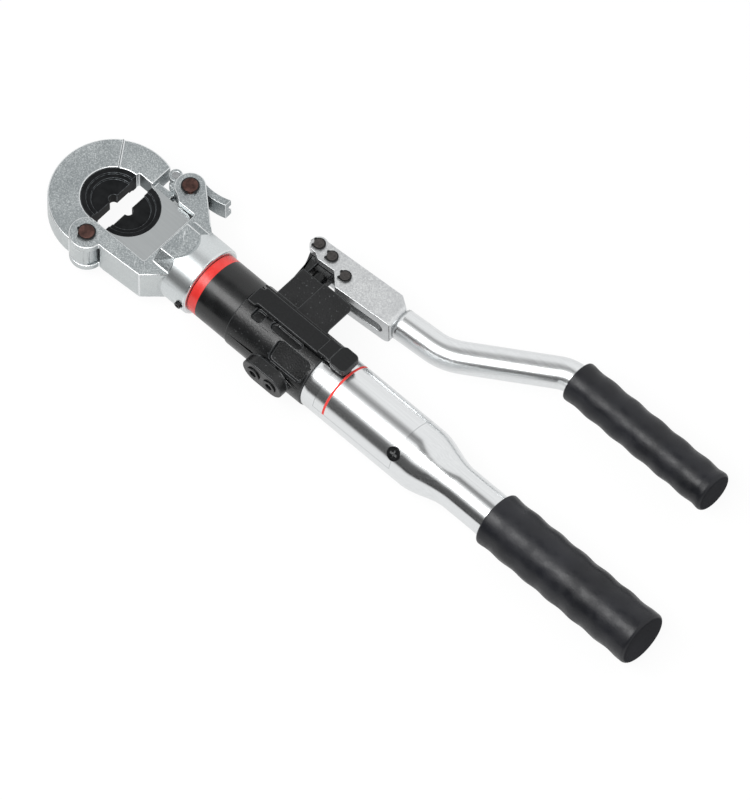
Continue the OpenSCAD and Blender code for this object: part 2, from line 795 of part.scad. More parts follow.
// Forked latch with a curved finger piece; its catch pin drops behind the jaw's lip
module latch_lever() {
    color(steel_grey) difference() {
        plate(latch_w) difference() {
            union() {
                translate(catch_rest) circle(latch_nose_r);
                translate(latch_at) circle(latch_hub_r);
                translate(latch_at) rotate(latch_rest_angle)
                    translate([0, -latch_bar_w / 2]) square([latch_reach, latch_bar_w]);
                translate(latch_at) rotate(latch_rest_angle) square([latch_web_l, latch_web_w]);
                intersection() {
                    difference() {
                        translate(finger_at) circle(finger_r + finger_t / 2);
                        translate(finger_at) circle(finger_r - finger_t / 2);
                    }
                    translate(latch_at) square([finger_end_x - latch_x, finger_r]);
                }
            }
            translate(latch_at) circle(pin_r + fit);
            translate(catch_rest) circle(catch_r + fit);
        }
        box([0, 0, -latch_gap_half], [finger_root_x, 2 * latch_y, latch_gap_half]);
        plate(finger_groove_w) intersection() {
            translate(finger_at) circle(finger_r - finger_t / 2 + finger_groove);
            translate([finger_root_x, latch_y]) square([finger_end_x, finger_r]);
        }
    }
}

module latch_catch_pin() {
    color("silver") translate(catch_rest) cylinder(r = catch_r, h = latch_w, center = true);
}

module latch_spring() {
    height = 2 * latch_gap_half - 2 * slide_gap;
    color("silver") translate([latch_x, latch_y, -height / 2])
        coil("latch spring", pin_r + spring_play + latch_wire / 2, latch_wire, height, latch_coils);
}

// One half die, its parting face on the plane x = 0 and its body towards -X
module die_half() {
    r = die_d / 2;
    step_r = r - die_rim_w;
    web_r = step_r - die_step_w;
    difference() {
        intersection() {
            rotate_extrude() polygon([[0, -die_web_t / 2], [web_r, -die_web_t / 2],
                [web_r, -die_step_t / 2], [step_r, -die_step_t / 2], [step_r, -die_rim_t / 2],
                [r, -die_rim_t / 2], [r, die_rim_t / 2], [step_r, die_rim_t / 2],
                [step_r, die_step_t / 2], [web_r, die_step_t / 2], [web_r, die_web_t / 2],
                [0, die_web_t / 2]]);
            box([-die_d, -die_d, -die_d], [0, die_d, die_d]);
        }
        cylinder(r = groove_r, h = 2 * die_rim_t, center = true);
    }
}

module upper_die() { color(oxide_black) die_half(); }

module lower_die() { color(oxide_black) translate([jaw_gap, 0, 0]) mirror([1, 0, 0]) die_half(); }

// Flat steel ram head with the moving die's seat
module ram_head() {
    length = ram_x1 - ram_x0;
    color("#c3c7c8") difference() {
        plate(ram_t) difference() {
            union() {
                translate([ram_x0 + length / 2, 0]) round_rect([length, ram_w], ram_corner_r);
                translate([ram_x0, -ram_half]) square([length / 2, ram_w]);
            }
            translate([ram_x0, 0]) circle(seat_r);
        }
        rod_x(rod_spigot_d / 2 + fit, ram_x1 - rod_spigot_l - slide_gap, ram_x1 + over);
    }
}

// Rod and piston turned from one bar
module ram_piston() {
    groove_at_r = piston_r - seal_depth;
    color("silver") along_x() rotate_extrude() polygon([[0, ram_x1 - rod_spigot_l],
        [rod_spigot_d / 2, ram_x1 - rod_spigot_l], [rod_spigot_d / 2, ram_x1], [rod_r, ram_x1],
        [rod_r, piston_x0], [piston_r, piston_x0], [piston_r, seal_x - seal_w / 2],
        [groove_at_r, seal_x - seal_w / 2], [groove_at_r, seal_x + seal_w / 2],
        [piston_r, seal_x + seal_w / 2], [piston_r, piston_x1], [0, piston_x1]]);
}

// A flat ring round the X axis
module ring_x(r0, r1, x0, x1) {
    along_x() rotate_extrude() polygon([[r0, x0], [r1, x0], [r1, x1], [r0, x1]]);
}

module piston_seal() {
    color(oxide_black) ring_x(piston_r - seal_depth + fit, piston_r, seal_x - seal_w / 2 + fit,
        seal_x + seal_w / 2 - fit);
}

module return_spring() {
    height = piston_x0 - bore_x0 - slide_gap;
    color("silver") translate([bore_x0 + slide_gap / 2, 0, 0]) along_x()
        coil("return spring", (rod_r + bore_r) / 2, return_wire, height, return_coils);
}

module head_set_screw() {
    tip = swivel_r - swivel_groove + slide_gap;
    length = collar_d / 2 + set_screw_out - tip;
    color(oxide_black) translate([set_screw_x, -tip, 0]) rotate([90, 0, 0]) difference() {
        cylinder(r = set_screw_d / 2, h = length);
        translate([0, 0, length - set_screw_out]) cylinder(r = set_screw_d / 4, h = 2 * length, $fn = 6);
    }
}

// Hydraulic cylinder between the swivelling head and the pump body
module ram_cylinder() {
    groove_x0 = set_screw_x - swivel_groove_w / 2;
    groove_x1 = set_screw_x + swivel_groove_w / 2;
    groove_at_r = swivel_r - swivel_groove;
    spigot = rear_spigot_d / 2;
    color(steel_grey) along_x() rotate_extrude() polygon([[rod_r + fit, front_x], [swivel_r, front_x],
        [swivel_r, groove_x0], [groove_at_r, groove_x0], [groove_at_r, groove_x1],
        [swivel_r, groove_x1], [swivel_r, label_x0], [cyl_r, label_x0], [cyl_r, cylinder_end_x],
        [spigot, cylinder_end_x], [spigot, bore_x1], [bore_r, bore_x1], [bore_r, bore_x0],
        [rod_r + fit, bore_x0]]);
}

module front_label_band() {
    color("#d9352f") ring_x(cyl_r, cyl_r + label_t, label_x0, label_x1);
}

module rear_label_band() {
    color("#1d1e20") ring_x(cyl_r, cyl_r + label_t, label_x1, cylinder_end_x);
}

// Lug that carries the fulcrum pin, rising from the plunger tower's front corner
module fulcrum_lug() {
    plate(lug_t) {
        translate(fulcrum_at) circle(lug_r);
        polygon([fulcrum_at + [-lug_r, 0], lug_toe, lug_heel, [tower_x, shoulder_y],
            [lug_right, shoulder_y], [lug_right, lug_neck], fulcrum_at + [lug_r, 0]]);
    }
}

// Outline of the valve boss along the tool
module boss_outline() {
    for (i = [0, 1]) translate([valve_x + i * valve_pitch, 0]) circle(boss_r);
    translate([valve_x, -boss_r]) square([valve_pitch, 2 * boss_r]);
}

// Puts a shape that runs along Z against the valve tower's leaning rear wall, at one height
module at_tower_wall(y) {
    translate([valve_tower_x1, y, tower_half]) rotate([0, tower_lean, 0])
        translate([0, 0, -2 * valve_tower_t]) children();
}

// Fillet between the valve tower's rear wall and the shoulder
module tower_foot() {
    intersection() {
        box([tower_x, 0, -tower_half], [body_end_x - over, tower_y, tower_half]);
        at_tower_wall(shoulder_y) difference() {
            translate([-over, -over, 0]) cube([tower_fillet + over, tower_fillet + over, 4 * valve_tower_t]);
            translate([tower_fillet, tower_fillet, -over])
                cylinder(r = tower_fillet, h = 5 * valve_tower_t);
        }
    }
}

// Cast pump body: round barrel, square shoulder, two towers, lever lug and valve boss
module pump_body() {
    color(casting_black) difference() {
        union() {
            rod_x(body_r, body_x0, body_end_x);
            box([body_x0 + over, 0, -recess_z], [body_end_x - over, shoulder_y, recess_z]);
            box([tower_x, 0, -plunger_tower_t / 2], [plunger_tower_x1, tower_y, plunger_tower_t / 2]);
            translate([0, tower_y, 0]) rotate([90, 0, 0]) linear_extrude(height = tower_y)
                polygon([[plunger_tower_x1 - over, -tower_half], [valve_tower_x1 - tower_draft, -tower_half],
                    [valve_tower_x1, tower_half], [plunger_tower_x1 - over, tower_half]]);
            tower_foot();
            fulcrum_lug();
            rotate([90, 0, 0]) linear_extrude(height = boss_y) boss_outline();
            rod_x(spigot_r, body_end_x - over, spigot_x1);
            rod_x(nose_r, spigot_x1 - over, spigot_x1 + nose_l);
        }
        at_tower_wall(tower_y) translate([-tower_corner, -tower_corner, 0]) difference() {
            cube([tower_corner + over, tower_corner + over, 4 * valve_tower_t]);
            translate([0, 0, -over]) cylinder(r = tower_corner, h = 5 * valve_tower_t);
        }
        rod_x(rear_spigot_d / 2 + fit, body_x0 - over, bore_x1);
        translate([plunger_x, plunger_foot_y - over, 0]) along_y()
            cylinder(r = plunger_r + fit, h = tower_y);
        translate([plunger_x, pump_seal_y, 0]) along_y()
            cylinder(r = plunger_r + pump_seal_depth, h = pump_seal_w);
        translate(fulcrum_at) cylinder(r = lever_pin_r + fit, h = bracket_t, center = true);
        for (i = [0, 1]) translate([valve_x + i * valve_pitch, 0, 0]) {
            translate([0, plug_foot_y, 0]) rotate([90, 0, 0])
                cylinder(r = valve_plug_d / 2 + fit, h = boss_y);
            translate([0, valve_seat_y, 0]) rotate([90, 0, 0]) cylinder(r = valve_bore_r, h = boss_y);
        }
        box([body_x0 - over, recess_y, recess_z], [body_end_x + over, recess_y + recess_w, body_d]);
        translate([release_x, release_y - release_lug_w / 2 - slide_gap, release_pin_z])
            translate([-release_lug_r - over, 0, -release_lug_r - slide_gap])
                cube([2 * release_lug_r + 2 * over, release_lug_w + 2 * slide_gap, body_d]);
        translate([release_x, recess_y - over, release_pin_z]) along_y()
            cylinder(r = release_pin_r + fit, h = shoulder_y - recess_y);
        translate([stem_x, release_y, stem_bore_z]) cylinder(r = stem_r + fit, h = body_d);
        rotate([panel_turn, 0, 0]) translate([panel_x, 0, body_r - panel_depth])
            linear_extrude(height = body_d) round_rect([panel_l, panel_w], panel_corner);
        translate([scoop_at[0], scoop_at[1], body_r - scoop_depth])
            linear_extrude(height = body_d) round_rect([scoop_l, scoop_w], scoop_w / 2 - fit);
        translate([mark_at[0], mark_at[1], body_r - mark_depth])
            linear_extrude(height = body_d) round_rect([mark_l, mark_l], mark_corner);
        ring_x(spigot_r - spigot_groove, spigot_r + over, spigot_groove_x, spigot_groove_x + seal_w);
    }
}

module plunger_seal() {
    color(oxide_black) translate([plunger_x, pump_seal_y + fit, 0]) along_y() rotate_extrude()
        polygon([[plunger_r + fit, 0], [plunger_r + pump_seal_depth - fit, 0],
            [plunger_r + pump_seal_depth - fit, pump_seal_w - 2 * fit],
            [plunger_r + fit, pump_seal_w - 2 * fit]]);
}

// Pump plunger, whose open claw takes the lever's plunger pin
module pump_plunger() {
    mouth_end = plunger_pin_at[0] + claw_play / 2;
    color("#4a4c4f") difference() {
        union() {
            translate([plunger_x, plunger_foot_y, 0]) along_y()
                cylinder(r = plunger_r, h = claw_foot_y - plunger_foot_y + over);
            box([claw_x0, claw_foot_y, -claw_t / 2], [claw_x0 + claw_w, claw_top_y, claw_t / 2]);
        }
        plate(2 * claw_t) {
            translate([mouth_end, plunger_pin_at[1]]) circle(claw_half);
            translate([mouth_end - claw_w, plunger_pin_at[1] - claw_half]) square([claw_w, 2 * claw_half]);
        }
    }
}

// Hexagon socket plugs that close the two valve bores
module valve_plugs() {
    r = valve_plug_d / 2;
    color(oxide_black) for (i = [0, 1]) translate([valve_x + i * valve_pitch, plug_foot_y, 0])
        rotate([90, 0, 0]) difference() {
            cylinder(r = r, h = valve_plug_l);
            translate([0, 0, valve_plug_l / 2]) cylinder(d = valve_key / cos(30), h = valve_plug_l, $fn = 6);
        }
}

module valve_springs() {
    height = valve_spring_y - plug_foot_y - slide_gap;
    color("silver") for (i = [0, 1]) translate([valve_x + i * valve_pitch, valve_spring_y - fit, 0])
        rotate([90, 0, 0])
            coil("valve spring", valve_bore_r - valve_wire / 2 - valve_play, valve_wire, height, valve_coils);
}

module valve_balls() {
    r = valve_ball_d / 2;
    color("silver") for (i = [0, 1])
        translate([valve_x + i * valve_pitch, valve_seat_y - r - fit, 0]) sphere(r);
}

// Side outline of the lever bracket, level with the fulcrum at the origin
module bracket_outline() {
    circle(nose_r1);
    polygon([[0, bracket_up], [bracket_l - end_bevel_l, bracket_up], [bracket_l, bracket_up - end_bevel_h],
        [bracket_l, edge - heel_down], [bracket_l - edge, -heel_down],
        [nose_back + heel_slope_l, -heel_down], [nose_back, -nose_down], [nose_r1, -nose_down],
        [-nose_r1, -edge], [-bracket_up, bracket_up / 2]]);
}

// The bracket's bar, with its rear corners rounded
module bracket_bar() {
    difference() {
        plate(bracket_t) bracket_outline();
        for (side = [-1, 1]) let (r = side > 0 ? heel_corner : heel_round)
            translate([bracket_l - r, bracket_up + over, side * (bracket_half - r)])
                rotate([90, 0, 0]) linear_extrude(height = bracket_l) difference() {
                    translate([0, side > 0 ? 0 : -r - over]) square(r + over);
                    circle(r);
                }
    }
}

// Solid aluminium bracket between the pump and the lever tube
module lever_bracket() {
    groove_end = bracket_l - groove_back;
    color("#bfc1c2") translate(fulcrum_at) difference() {
        rotate(lever_slope) union() {
            bracket_bar();
            translate([bracket_l - heel_round, -tube_drop, 0])
                rod_x(tube_bore_r - fit, 0, tube_spigot_l + heel_round);
        }
        box([-bracket_l, -bracket_l, -nose_slot_w / 2], [nose_open_l, bracket_l, nose_slot_w / 2]);
        rotate(lever_slope) translate([0, -tube_drop, 0]) rotate([90, 0, 0])
            linear_extrude(height = bracket_l) {
                translate([groove_end, 0]) circle(groove_w / 2);
                translate([0, -groove_w / 2]) square([groove_end, groove_w]);
            }
        for (at = [fulcrum_at, plunger_pin_at, stop_pin_at])
            translate(at - fulcrum_at) cylinder(r = lever_pin_r + fit, h = 2 * bracket_t, center = true);
    }
}

module lever_pin(at) {
    color(oxide_black) translate(at) grooved_pin(lever_pin_r, lever_pin_half, lever_clip_z);
}

module fulcrum_pin() { lever_pin(fulcrum_at); }

module plunger_pin() { lever_pin(plunger_pin_at); }

module stop_pin() { lever_pin(stop_pin_at); }

module lever_circlips() {
    color(oxide_black) for (at = [fulcrum_at, plunger_pin_at, stop_pin_at])
        translate(at) circlip_pair(lever_pin_r, lever_clip_z, lever_clip_turn);
}

// One bend of the lever tube, turning about a point in the tool's middle plane
module tube_bend(at, bend_r, from, turn, r) {
    translate(at) rotate(from) rotate_extrude(angle = turn) translate([bend_r, 0]) circle(r);
}

// One straight run of the lever tube, from one place along it to another
module tube_run(at, slant, x0, x1, r) { translate(at) rotate(slant) rod_x(r, x0, x1); }

// The tube's whole path; each run ends inside its bend, which is swollen a little
module tube_path(r, swell, spare) {
    tube_run(tube_at, lever_slope, -spare, lever_run_1 + over, r);
    tube_bend(bend_1_mid, bend_1_r, lever_slope - 90, lever_slant - lever_slope, r + swell);
    tube_run(run_2_at, lever_slant, -over, lever_run_2 + over, r);
    tube_bend(bend_2_mid, bend_2_r, 90, lever_slant, r + swell);
    tube_run(run_3_at, 0, -over, lever_run_3 + spare, r);
}

// Bent aluminium tube with its double bend
module lever_tube() {
    color("#d4d6d7") difference() {
        tube_path(tube_r, bend_swell, 0);
        tube_path(tube_bore_r, -bend_swell, over);
    }
}

// Profile of a rubber grip with waves, open at its start and closed at its end
function wave_r(r, x, length) =
    r - wave_h * (1 - cos(360 * x / wave_pitch)) / 2
        * min(1, x / wave_lead) * min(1, (length - x) / wave_lead);
module grip_profile(r, bore, length) {
    steps = floor((length - grip_edge_r) / wave_pitch * wave_steps);
    span = length - grip_edge_r;
    skin = [for (i = [0 : steps]) let (x = span * i / steps) [wave_r(r, x, span), x]];
    rim = [for (a = [rim_turn : rim_turn : 90])
        [r - grip_edge_r * (1 - cos(a)), span + grip_edge_r * sin(a)]];
    inside = length - grip_end_t;
    polygon(concat([[bore, 0]], skin, rim, [[0, length], [0, inside], [bore, inside]]));
}

module lever_grip() {
    color(rubber_grey) translate([run_3_at[0], run_3_at[1], 0]) along_x() rotate_extrude()
        grip_profile(lever_grip_d / 2, tube_r + fit, lever_grip_l);
}

// Rocking release lever with a thumb pad over the reservoir tube
module release_lever() {
    bar_x0 = release_head_x + release_head_l / 2;
    riser_z0 = min(bar_z, pad_z);
    riser_z1 = max(bar_z, pad_z) + release_t;
    color("#333335") difference() {
        union() {
            translate([bar_x0, release_y - release_w / 2, bar_z])
                cube([bar_x1 - bar_x0, release_w, release_t]);
            translate([release_head_x + release_head_l / 2, release_y - release_head_shift, bar_z])
                linear_extrude(height = release_t) round_rect([release_head_l, release_head_w], head_corner);
            translate([pad_x + pad_l / 2, release_y, pad_z]) linear_extrude(height = pad_t)
                round_rect([pad_l, pad_w], pad_corner);
            translate([bar_x1 - release_t, release_y - release_w / 2, pad_z])
                cube([pad_x + pad_corner - bar_x1 + release_t, release_w, release_t]);
            translate([bar_x1 - release_t, release_y - release_w / 2, riser_z0])
                cube([release_t, release_w, riser_z1 - riser_z0]);
            translate([release_x, release_y - release_lug_w / 2, release_pin_z]) along_y()
                cylinder(r = release_lug_r, h = release_lug_w);
            translate([release_x - release_lug_r, release_y - release_lug_w / 2, release_pin_z])
                cube([2 * release_lug_r, release_lug_w, bar_z - release_pin_z + over]);
        }
        translate([release_x, 0, release_pin_z]) along_y()
            cylinder(r = release_pin_r + fit, h = body_d, center = true);
    }
}

module release_pivot_pin() {
    color("silver") translate([release_x, recess_y - over, release_pin_z]) along_y()
        cylinder(r = release_pin_r, h = shoulder_y - recess_y);
}

module release_stem() {
    color("silver") translate([stem_x, release_y, stem_foot]) cylinder(r = stem_r, h = stem_top - stem_foot);
}

module release_spring() {
    color("silver") translate([stem_x, release_y, stem_bore_z + fit])
        coil("release spring", stem_r - release_wire, release_wire, stem_foot - stem_bore_z - 2 * fit,
            release_coils);
}

// Outline radius of the reservoir tube along its narrowing
function taper_r(i) = neck_r + (res_r - neck_r) * (1 + cos(180 * i / taper_steps)) / 2;

// Drawn aluminium reservoir tube, narrowed to the grip
module reservoir_tube() {
    taper = [for (i = [0 : taper_steps]) [taper_r(i), taper_x + (neck_x - taper_x) * i / taper_steps]];
    skin = concat([[res_r, body_end_x]], taper, [[neck_r, tube_end_x]]);
    inside = [for (i = [len(skin) - 1 : -1 : 0]) [skin[i][0] - reservoir_wall, skin[i][1]]];
    color("#d4d6d7") difference() {
        along_x() rotate_extrude() polygon(concat(skin, inside));
        translate([filler_x, 0, 0]) rotate([filler_angle, 0, 0]) translate([0, filler_flat, 0]) along_y()
            cylinder(d = filler_d + 4 * fit, h = res_r);
        translate([filler_x, 0, 0]) rotate([filler_angle, 0, 0]) along_y()
            cylinder(r = filler_shank_d / 2 + fit, h = 2 * res_r);
    }
}

module reservoir_seal() {
    color(oxide_black) ring_x(spigot_r - spigot_groove + fit, spigot_r, spigot_groove_x + fit,
        spigot_groove_x + seal_w - fit);
}

// Rubber oil bladder with its mouth on the pump body's nose
module oil_bladder() {
    r = bladder_d / 2;
    mouth = nose_r + fit;
    inner = r - bladder_wall;
    x0 = spigot_x1 + slide_gap;
    x1 = neck_x - bladder_room;
    shoulder = 2 * nose_l;
    color(rubber_grey) along_x() rotate_extrude() polygon([[mouth, x0], [mouth + bladder_wall, x0],
        [mouth + bladder_wall, x0 + nose_l], [r, x0 + shoulder], [r, x1 - shoulder / 2],
        [r - shoulder / 2, x1], [0, x1], [0, x1 - bladder_wall], [inner - shoulder / 2, x1 - bladder_wall],
        [inner, x1 - shoulder / 2 - bladder_wall], [inner, x0 + shoulder + bladder_wall],
        [mouth, x0 + nose_l + bladder_wall]]);
}

module filler_plug() {
    color(oxide_black) translate([filler_x, 0, 0]) rotate([filler_angle, 0, 0]) along_y() difference() {
        union() {
            translate([0, 0, filler_flat + fit]) cylinder(d = filler_d, h = filler_head_t);
            translate([0, 0, res_r - reservoir_wall]) cylinder(r = filler_shank_d / 2, h = reservoir_wall);
        }
        for (turn = [0, 90]) rotate(turn) translate([0, 0, filler_flat + filler_head_t])
            cube(filler_slot, center = true);
    }
}

module body_grip() {
    color(rubber_grey) translate([grip_x, 0, 0]) along_x() rotate_extrude()
        grip_profile(grip_d / 2, neck_r + fit, grip_l);
}

fork_yoke();
upper_jaw();
hinge_pin();
latch_pin();
head_circlips();
latch_lever();
latch_catch_pin();
latch_spring();
upper_die();
lower_die();
ram_head();
ram_piston();
piston_seal();
return_spring();
head_set_screw();
ram_cylinder();
front_label_band();
rear_label_band();
pump_body();
plunger_seal();
pump_plunger();
valve_plugs();
valve_springs();
valve_balls();
lever_bracket();
fulcrum_pin();
plunger_pin();
stop_pin();
lever_circlips();
lever_tube();
lever_grip();
release_lever();
release_pivot_pin();
release_stem();
release_spring();
reservoir_tube();
reservoir_seal();
oil_bladder();
filler_plug();
body_grip();
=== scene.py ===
import math

import bmesh
import bpy
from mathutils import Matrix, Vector


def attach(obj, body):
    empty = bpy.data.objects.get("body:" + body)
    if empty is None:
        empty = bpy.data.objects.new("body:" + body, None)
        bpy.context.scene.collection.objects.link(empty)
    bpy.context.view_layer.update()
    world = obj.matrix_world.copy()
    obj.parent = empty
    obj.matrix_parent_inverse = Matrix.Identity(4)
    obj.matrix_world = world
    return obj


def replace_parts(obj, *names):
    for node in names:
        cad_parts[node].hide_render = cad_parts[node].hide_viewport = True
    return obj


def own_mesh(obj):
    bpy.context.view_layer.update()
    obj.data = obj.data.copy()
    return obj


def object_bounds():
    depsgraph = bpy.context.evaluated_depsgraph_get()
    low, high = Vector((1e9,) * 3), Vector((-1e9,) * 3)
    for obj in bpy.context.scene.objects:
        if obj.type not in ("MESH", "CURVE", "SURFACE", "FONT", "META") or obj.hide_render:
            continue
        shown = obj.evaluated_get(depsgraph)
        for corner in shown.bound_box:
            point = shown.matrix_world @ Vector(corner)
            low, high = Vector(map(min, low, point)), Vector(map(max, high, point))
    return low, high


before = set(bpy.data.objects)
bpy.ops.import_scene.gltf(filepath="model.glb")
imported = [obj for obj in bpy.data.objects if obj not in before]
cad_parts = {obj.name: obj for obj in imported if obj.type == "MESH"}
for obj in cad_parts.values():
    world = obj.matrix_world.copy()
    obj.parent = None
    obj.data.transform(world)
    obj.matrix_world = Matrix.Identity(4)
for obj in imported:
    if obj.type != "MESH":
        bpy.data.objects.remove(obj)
cad_low, cad_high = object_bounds()

# Camera. A long lens looks down on the head's side from far off, so the view is almost parallel.
# The picture is 750 by 800 pixels, and 1.55 of them make a millimetre.
scene = bpy.context.scene
view_back = Vector((0.339, -0.357, 0.870)).normalized()
view_aim = Vector((0.2232, 0.0109, -0.0021))
view_distance, half_height, sensor = 16.0, 0.25806, 36.0
camera = bpy.data.objects.new("camera", bpy.data.cameras.new("camera"))
scene.collection.objects.link(camera)
camera.data.sensor_width = sensor
camera.data.lens = sensor / 2 * view_distance / half_height
camera.data.clip_end = 100.0
camera.location = view_aim + view_distance * view_back
camera.rotation_mode = "QUATERNION"
camera.rotation_quaternion = (-view_back).to_track_quat("-Z", "Y")
scene.camera = camera
scene.view_settings.view_transform = "Standard"


# Studio. White paper lies under the tool and pale walls stand round it. There is a grey gap overhead
# beside the soft box, and a dark end low on the near side. Polished tube shows them all as streaks.
def linear(code):
    """Linear colour of an sRGB hex code."""
    values = [int(code[i:i + 2], 16) / 255 for i in (1, 3, 5)]
    return [v / 12.92 if v <= 0.04045 else ((v + 0.055) / 1.055) ** 2.4 for v in values] + [1.0]


def fill(node, inputs):
    """Sets a node's inputs, by name or place, to plain values or to links from other nodes' outputs."""
    for key, value in dict(inputs).items():
        if isinstance(value, bpy.types.NodeSocket):
            node.id_data.links.new(value, node.inputs[key])
        else:
            node.inputs[key].default_value = value


def add(tree, kind, inputs=(), out=0, stops=(), **settings):
    """Adds a node and gives one of its outputs. Stops are places with a hex code or a grey level."""
    node = tree.nodes.new("ShaderNode" + kind)
    for key, value in settings.items():
        setattr(node, key, value)
    fill(node, inputs)
    if stops:
        bar = node.color_ramp.elements
        while len(bar) < len(stops):
            bar.new(0.5)
        for element, (place, colour) in zip(bar, stops):
            element.position = place
            element.color = linear(colour) if isinstance(colour, str) else [colour] * 3 + [1.0]
    return node.outputs[out] if node.outputs else None


wall_level, dark_level, gap_level = 0.95, 0.09, 0.27
world = bpy.data.worlds.new("studio")
scene.world = world
world.use_nodes = True
tree = world.node_tree
tree.nodes.clear()
way = add(tree, "SeparateXYZ", {0: add(tree, "TexCoord", out="Generated")}).node.outputs
across = add(tree, "Math", {0: way["X"], 1: 0.6}, operation="MULTIPLY")
across = add(tree, "Math", {0: way["Y"], 1: 0.8, 2: across}, operation="MULTIPLY_ADD")
across = add(tree, "MapRange", {0: across, 1: -0.5, 2: 0.5})
gap = add(tree, "ValToRGB", {0: across}, stops=[(0.26, 0.0), (0.33, 1.0), (0.56, 1.0), (0.65, 0.0)])
overhead = add(tree, "ValToRGB", {0: way["Z"]}, stops=[(0.66, 0.0), (0.80, 1.0)])
grey_gap = add(tree, "Math", {0: gap, 1: overhead}, operation="MULTIPLY")
side = add(tree, "MapRange", {0: way["Y"], 1: -1.0, 2: 1.0})
near_side = add(tree, "ValToRGB", {0: side}, stops=[(0.24, 1.0), (0.40, 0.0)])
low_down = add(tree, "ValToRGB", {0: way["Z"]}, stops=[(0.48, 1.0), (0.64, 0.0)])
dark_end = add(tree, "Math", {0: near_side, 1: low_down}, operation="MULTIPLY")
level = add(tree, "Mix", {0: dark_end, 2: wall_level, 3: dark_level}, data_type="FLOAT")
level = add(tree, "Mix", {0: grey_gap, 2: level, 3: gap_level}, data_type="FLOAT")
seen = add(tree, "LightPath", out="Is Camera Ray")
level = add(tree, "Mix", {0: seen, 2: level, 3: 1.0}, data_type="FLOAT")
light = add(tree, "Background", {"Color": (1, 1, 1, 1), "Strength": level})
add(tree, "OutputWorld", {"Surface": light})

box_y, box_z = -0.62, 1.14
soft_box = bpy.data.objects.new("soft_box", bpy.data.lights.new("soft_box", "AREA"))
scene.collection.objects.link(soft_box)
soft_box.data.shape = "RECTANGLE"
soft_box.data.size, soft_box.data.size_y = 1.5, 0.62
soft_box.data.energy = 16.0
soft_box.location = (0.2, box_y, box_z)
soft_box.rotation_euler = (math.atan2(-box_y, box_z), 0.0, 0.0)

# White paper: it shows white to the eye, a little darker in a mirror, and keeps a soft shadow. Its
# near end is in the dark.
floor_reach, floor_z = 40.0, cad_low.z - 0.0002
paper_white, seen_share, mirror_share, mirror_drop = 0.88, 0.92, 0.75, 0.16
floor_mesh = bpy.data.meshes.new("floor")
floor_corners = [(x * floor_reach, y * floor_reach, floor_z)
                 for x, y in ((-1, -1), (1, -1), (1, 1), (-1, 1))]
floor_mesh.from_pydata(floor_corners, [], [(0, 1, 2, 3)])
floor = bpy.data.objects.new("floor", floor_mesh)
scene.collection.objects.link(floor)
paper = bpy.data.materials.new("white_paper")
paper.use_nodes = True
tree = paper.node_tree
tree.nodes.clear()
path = add(tree, "LightPath").node.outputs
paper_y = add(tree, "SeparateXYZ", {0: add(tree, "TexCoord", out="Object")}, out="Y")
paper_end = add(tree, "MapRange", {0: paper_y, 1: -0.5, 2: 0.0})
sweep = add(tree, "ValToRGB", {0: paper_end}, stops=[(0.34, 0.10), (0.60, 1.0)])
tint = add(tree, "Math", {0: path["Is Camera Ray"], 1: sweep}, operation="MAXIMUM")
white = add(tree, "Math", {0: tint, 1: paper_white}, operation="MULTIPLY")
plain = add(tree, "BsdfDiffuse", {"Color": white})
glow = add(tree, "Math", {0: path["Is Glossy Ray"], 1: -mirror_drop, 2: tint}, operation="MULTIPLY_ADD",
           use_clamp=True)
bright = add(tree, "Emission", {"Color": (1, 1, 1, 1), "Strength": glow})
share = add(tree, "Math", {0: path["Is Glossy Ray"], 1: mirror_share}, operation="MULTIPLY")
share = add(tree, "Math", {0: path["Is Camera Ray"], 1: seen_share, 2: share}, operation="MULTIPLY_ADD")
share = add(tree, "Math", {0: path["Is Transmission Ray"], 1: seen_share, 2: share},
            operation="MULTIPLY_ADD", use_clamp=True)
both = add(tree, "MixShader", {0: share, 1: plain, 2: bright})
add(tree, "OutputMaterial", {"Surface": both})
floor.data.materials.append(paper)


# Fork. A steel casting, shot blasted and zinc plated, that carries the jaw, the latch and the ram.
# Flats are milled at its root and the collar behind them is turned. Its edges are knocked off by
# hand, so each edge is a narrow bright round.
def surface(name):
    """A new material, its node tree, its shader and the place of a point on the tool, in metres."""
    material = bpy.data.materials.new(name)
    material.use_nodes = True
    tree = material.node_tree
    return material, tree, tree.nodes["Principled BSDF"], add(tree, "TexCoord", out="Object")


def shade(work):
    """Smooth shading, but for edges that turn by more than 28 degrees."""
    bmesh.ops.recalc_face_normals(work, faces=work.faces)
    for face in work.faces:
        face.smooth = True
        face.material_index = 0
    for edge in work.edges:
        edge.smooth = not edge.is_manifold or edge.calc_face_angle(0.0) < math.radians(28)


def piece_from(work, name, material):
    """A piece of the tool from a worked mesh."""
    mesh = bpy.data.meshes.new(name)
    work.to_mesh(mesh)
    work.free()
    mesh.materials.append(material)
    piece = bpy.data.objects.new(name, mesh)
    scene.collection.objects.link(piece)
    return piece


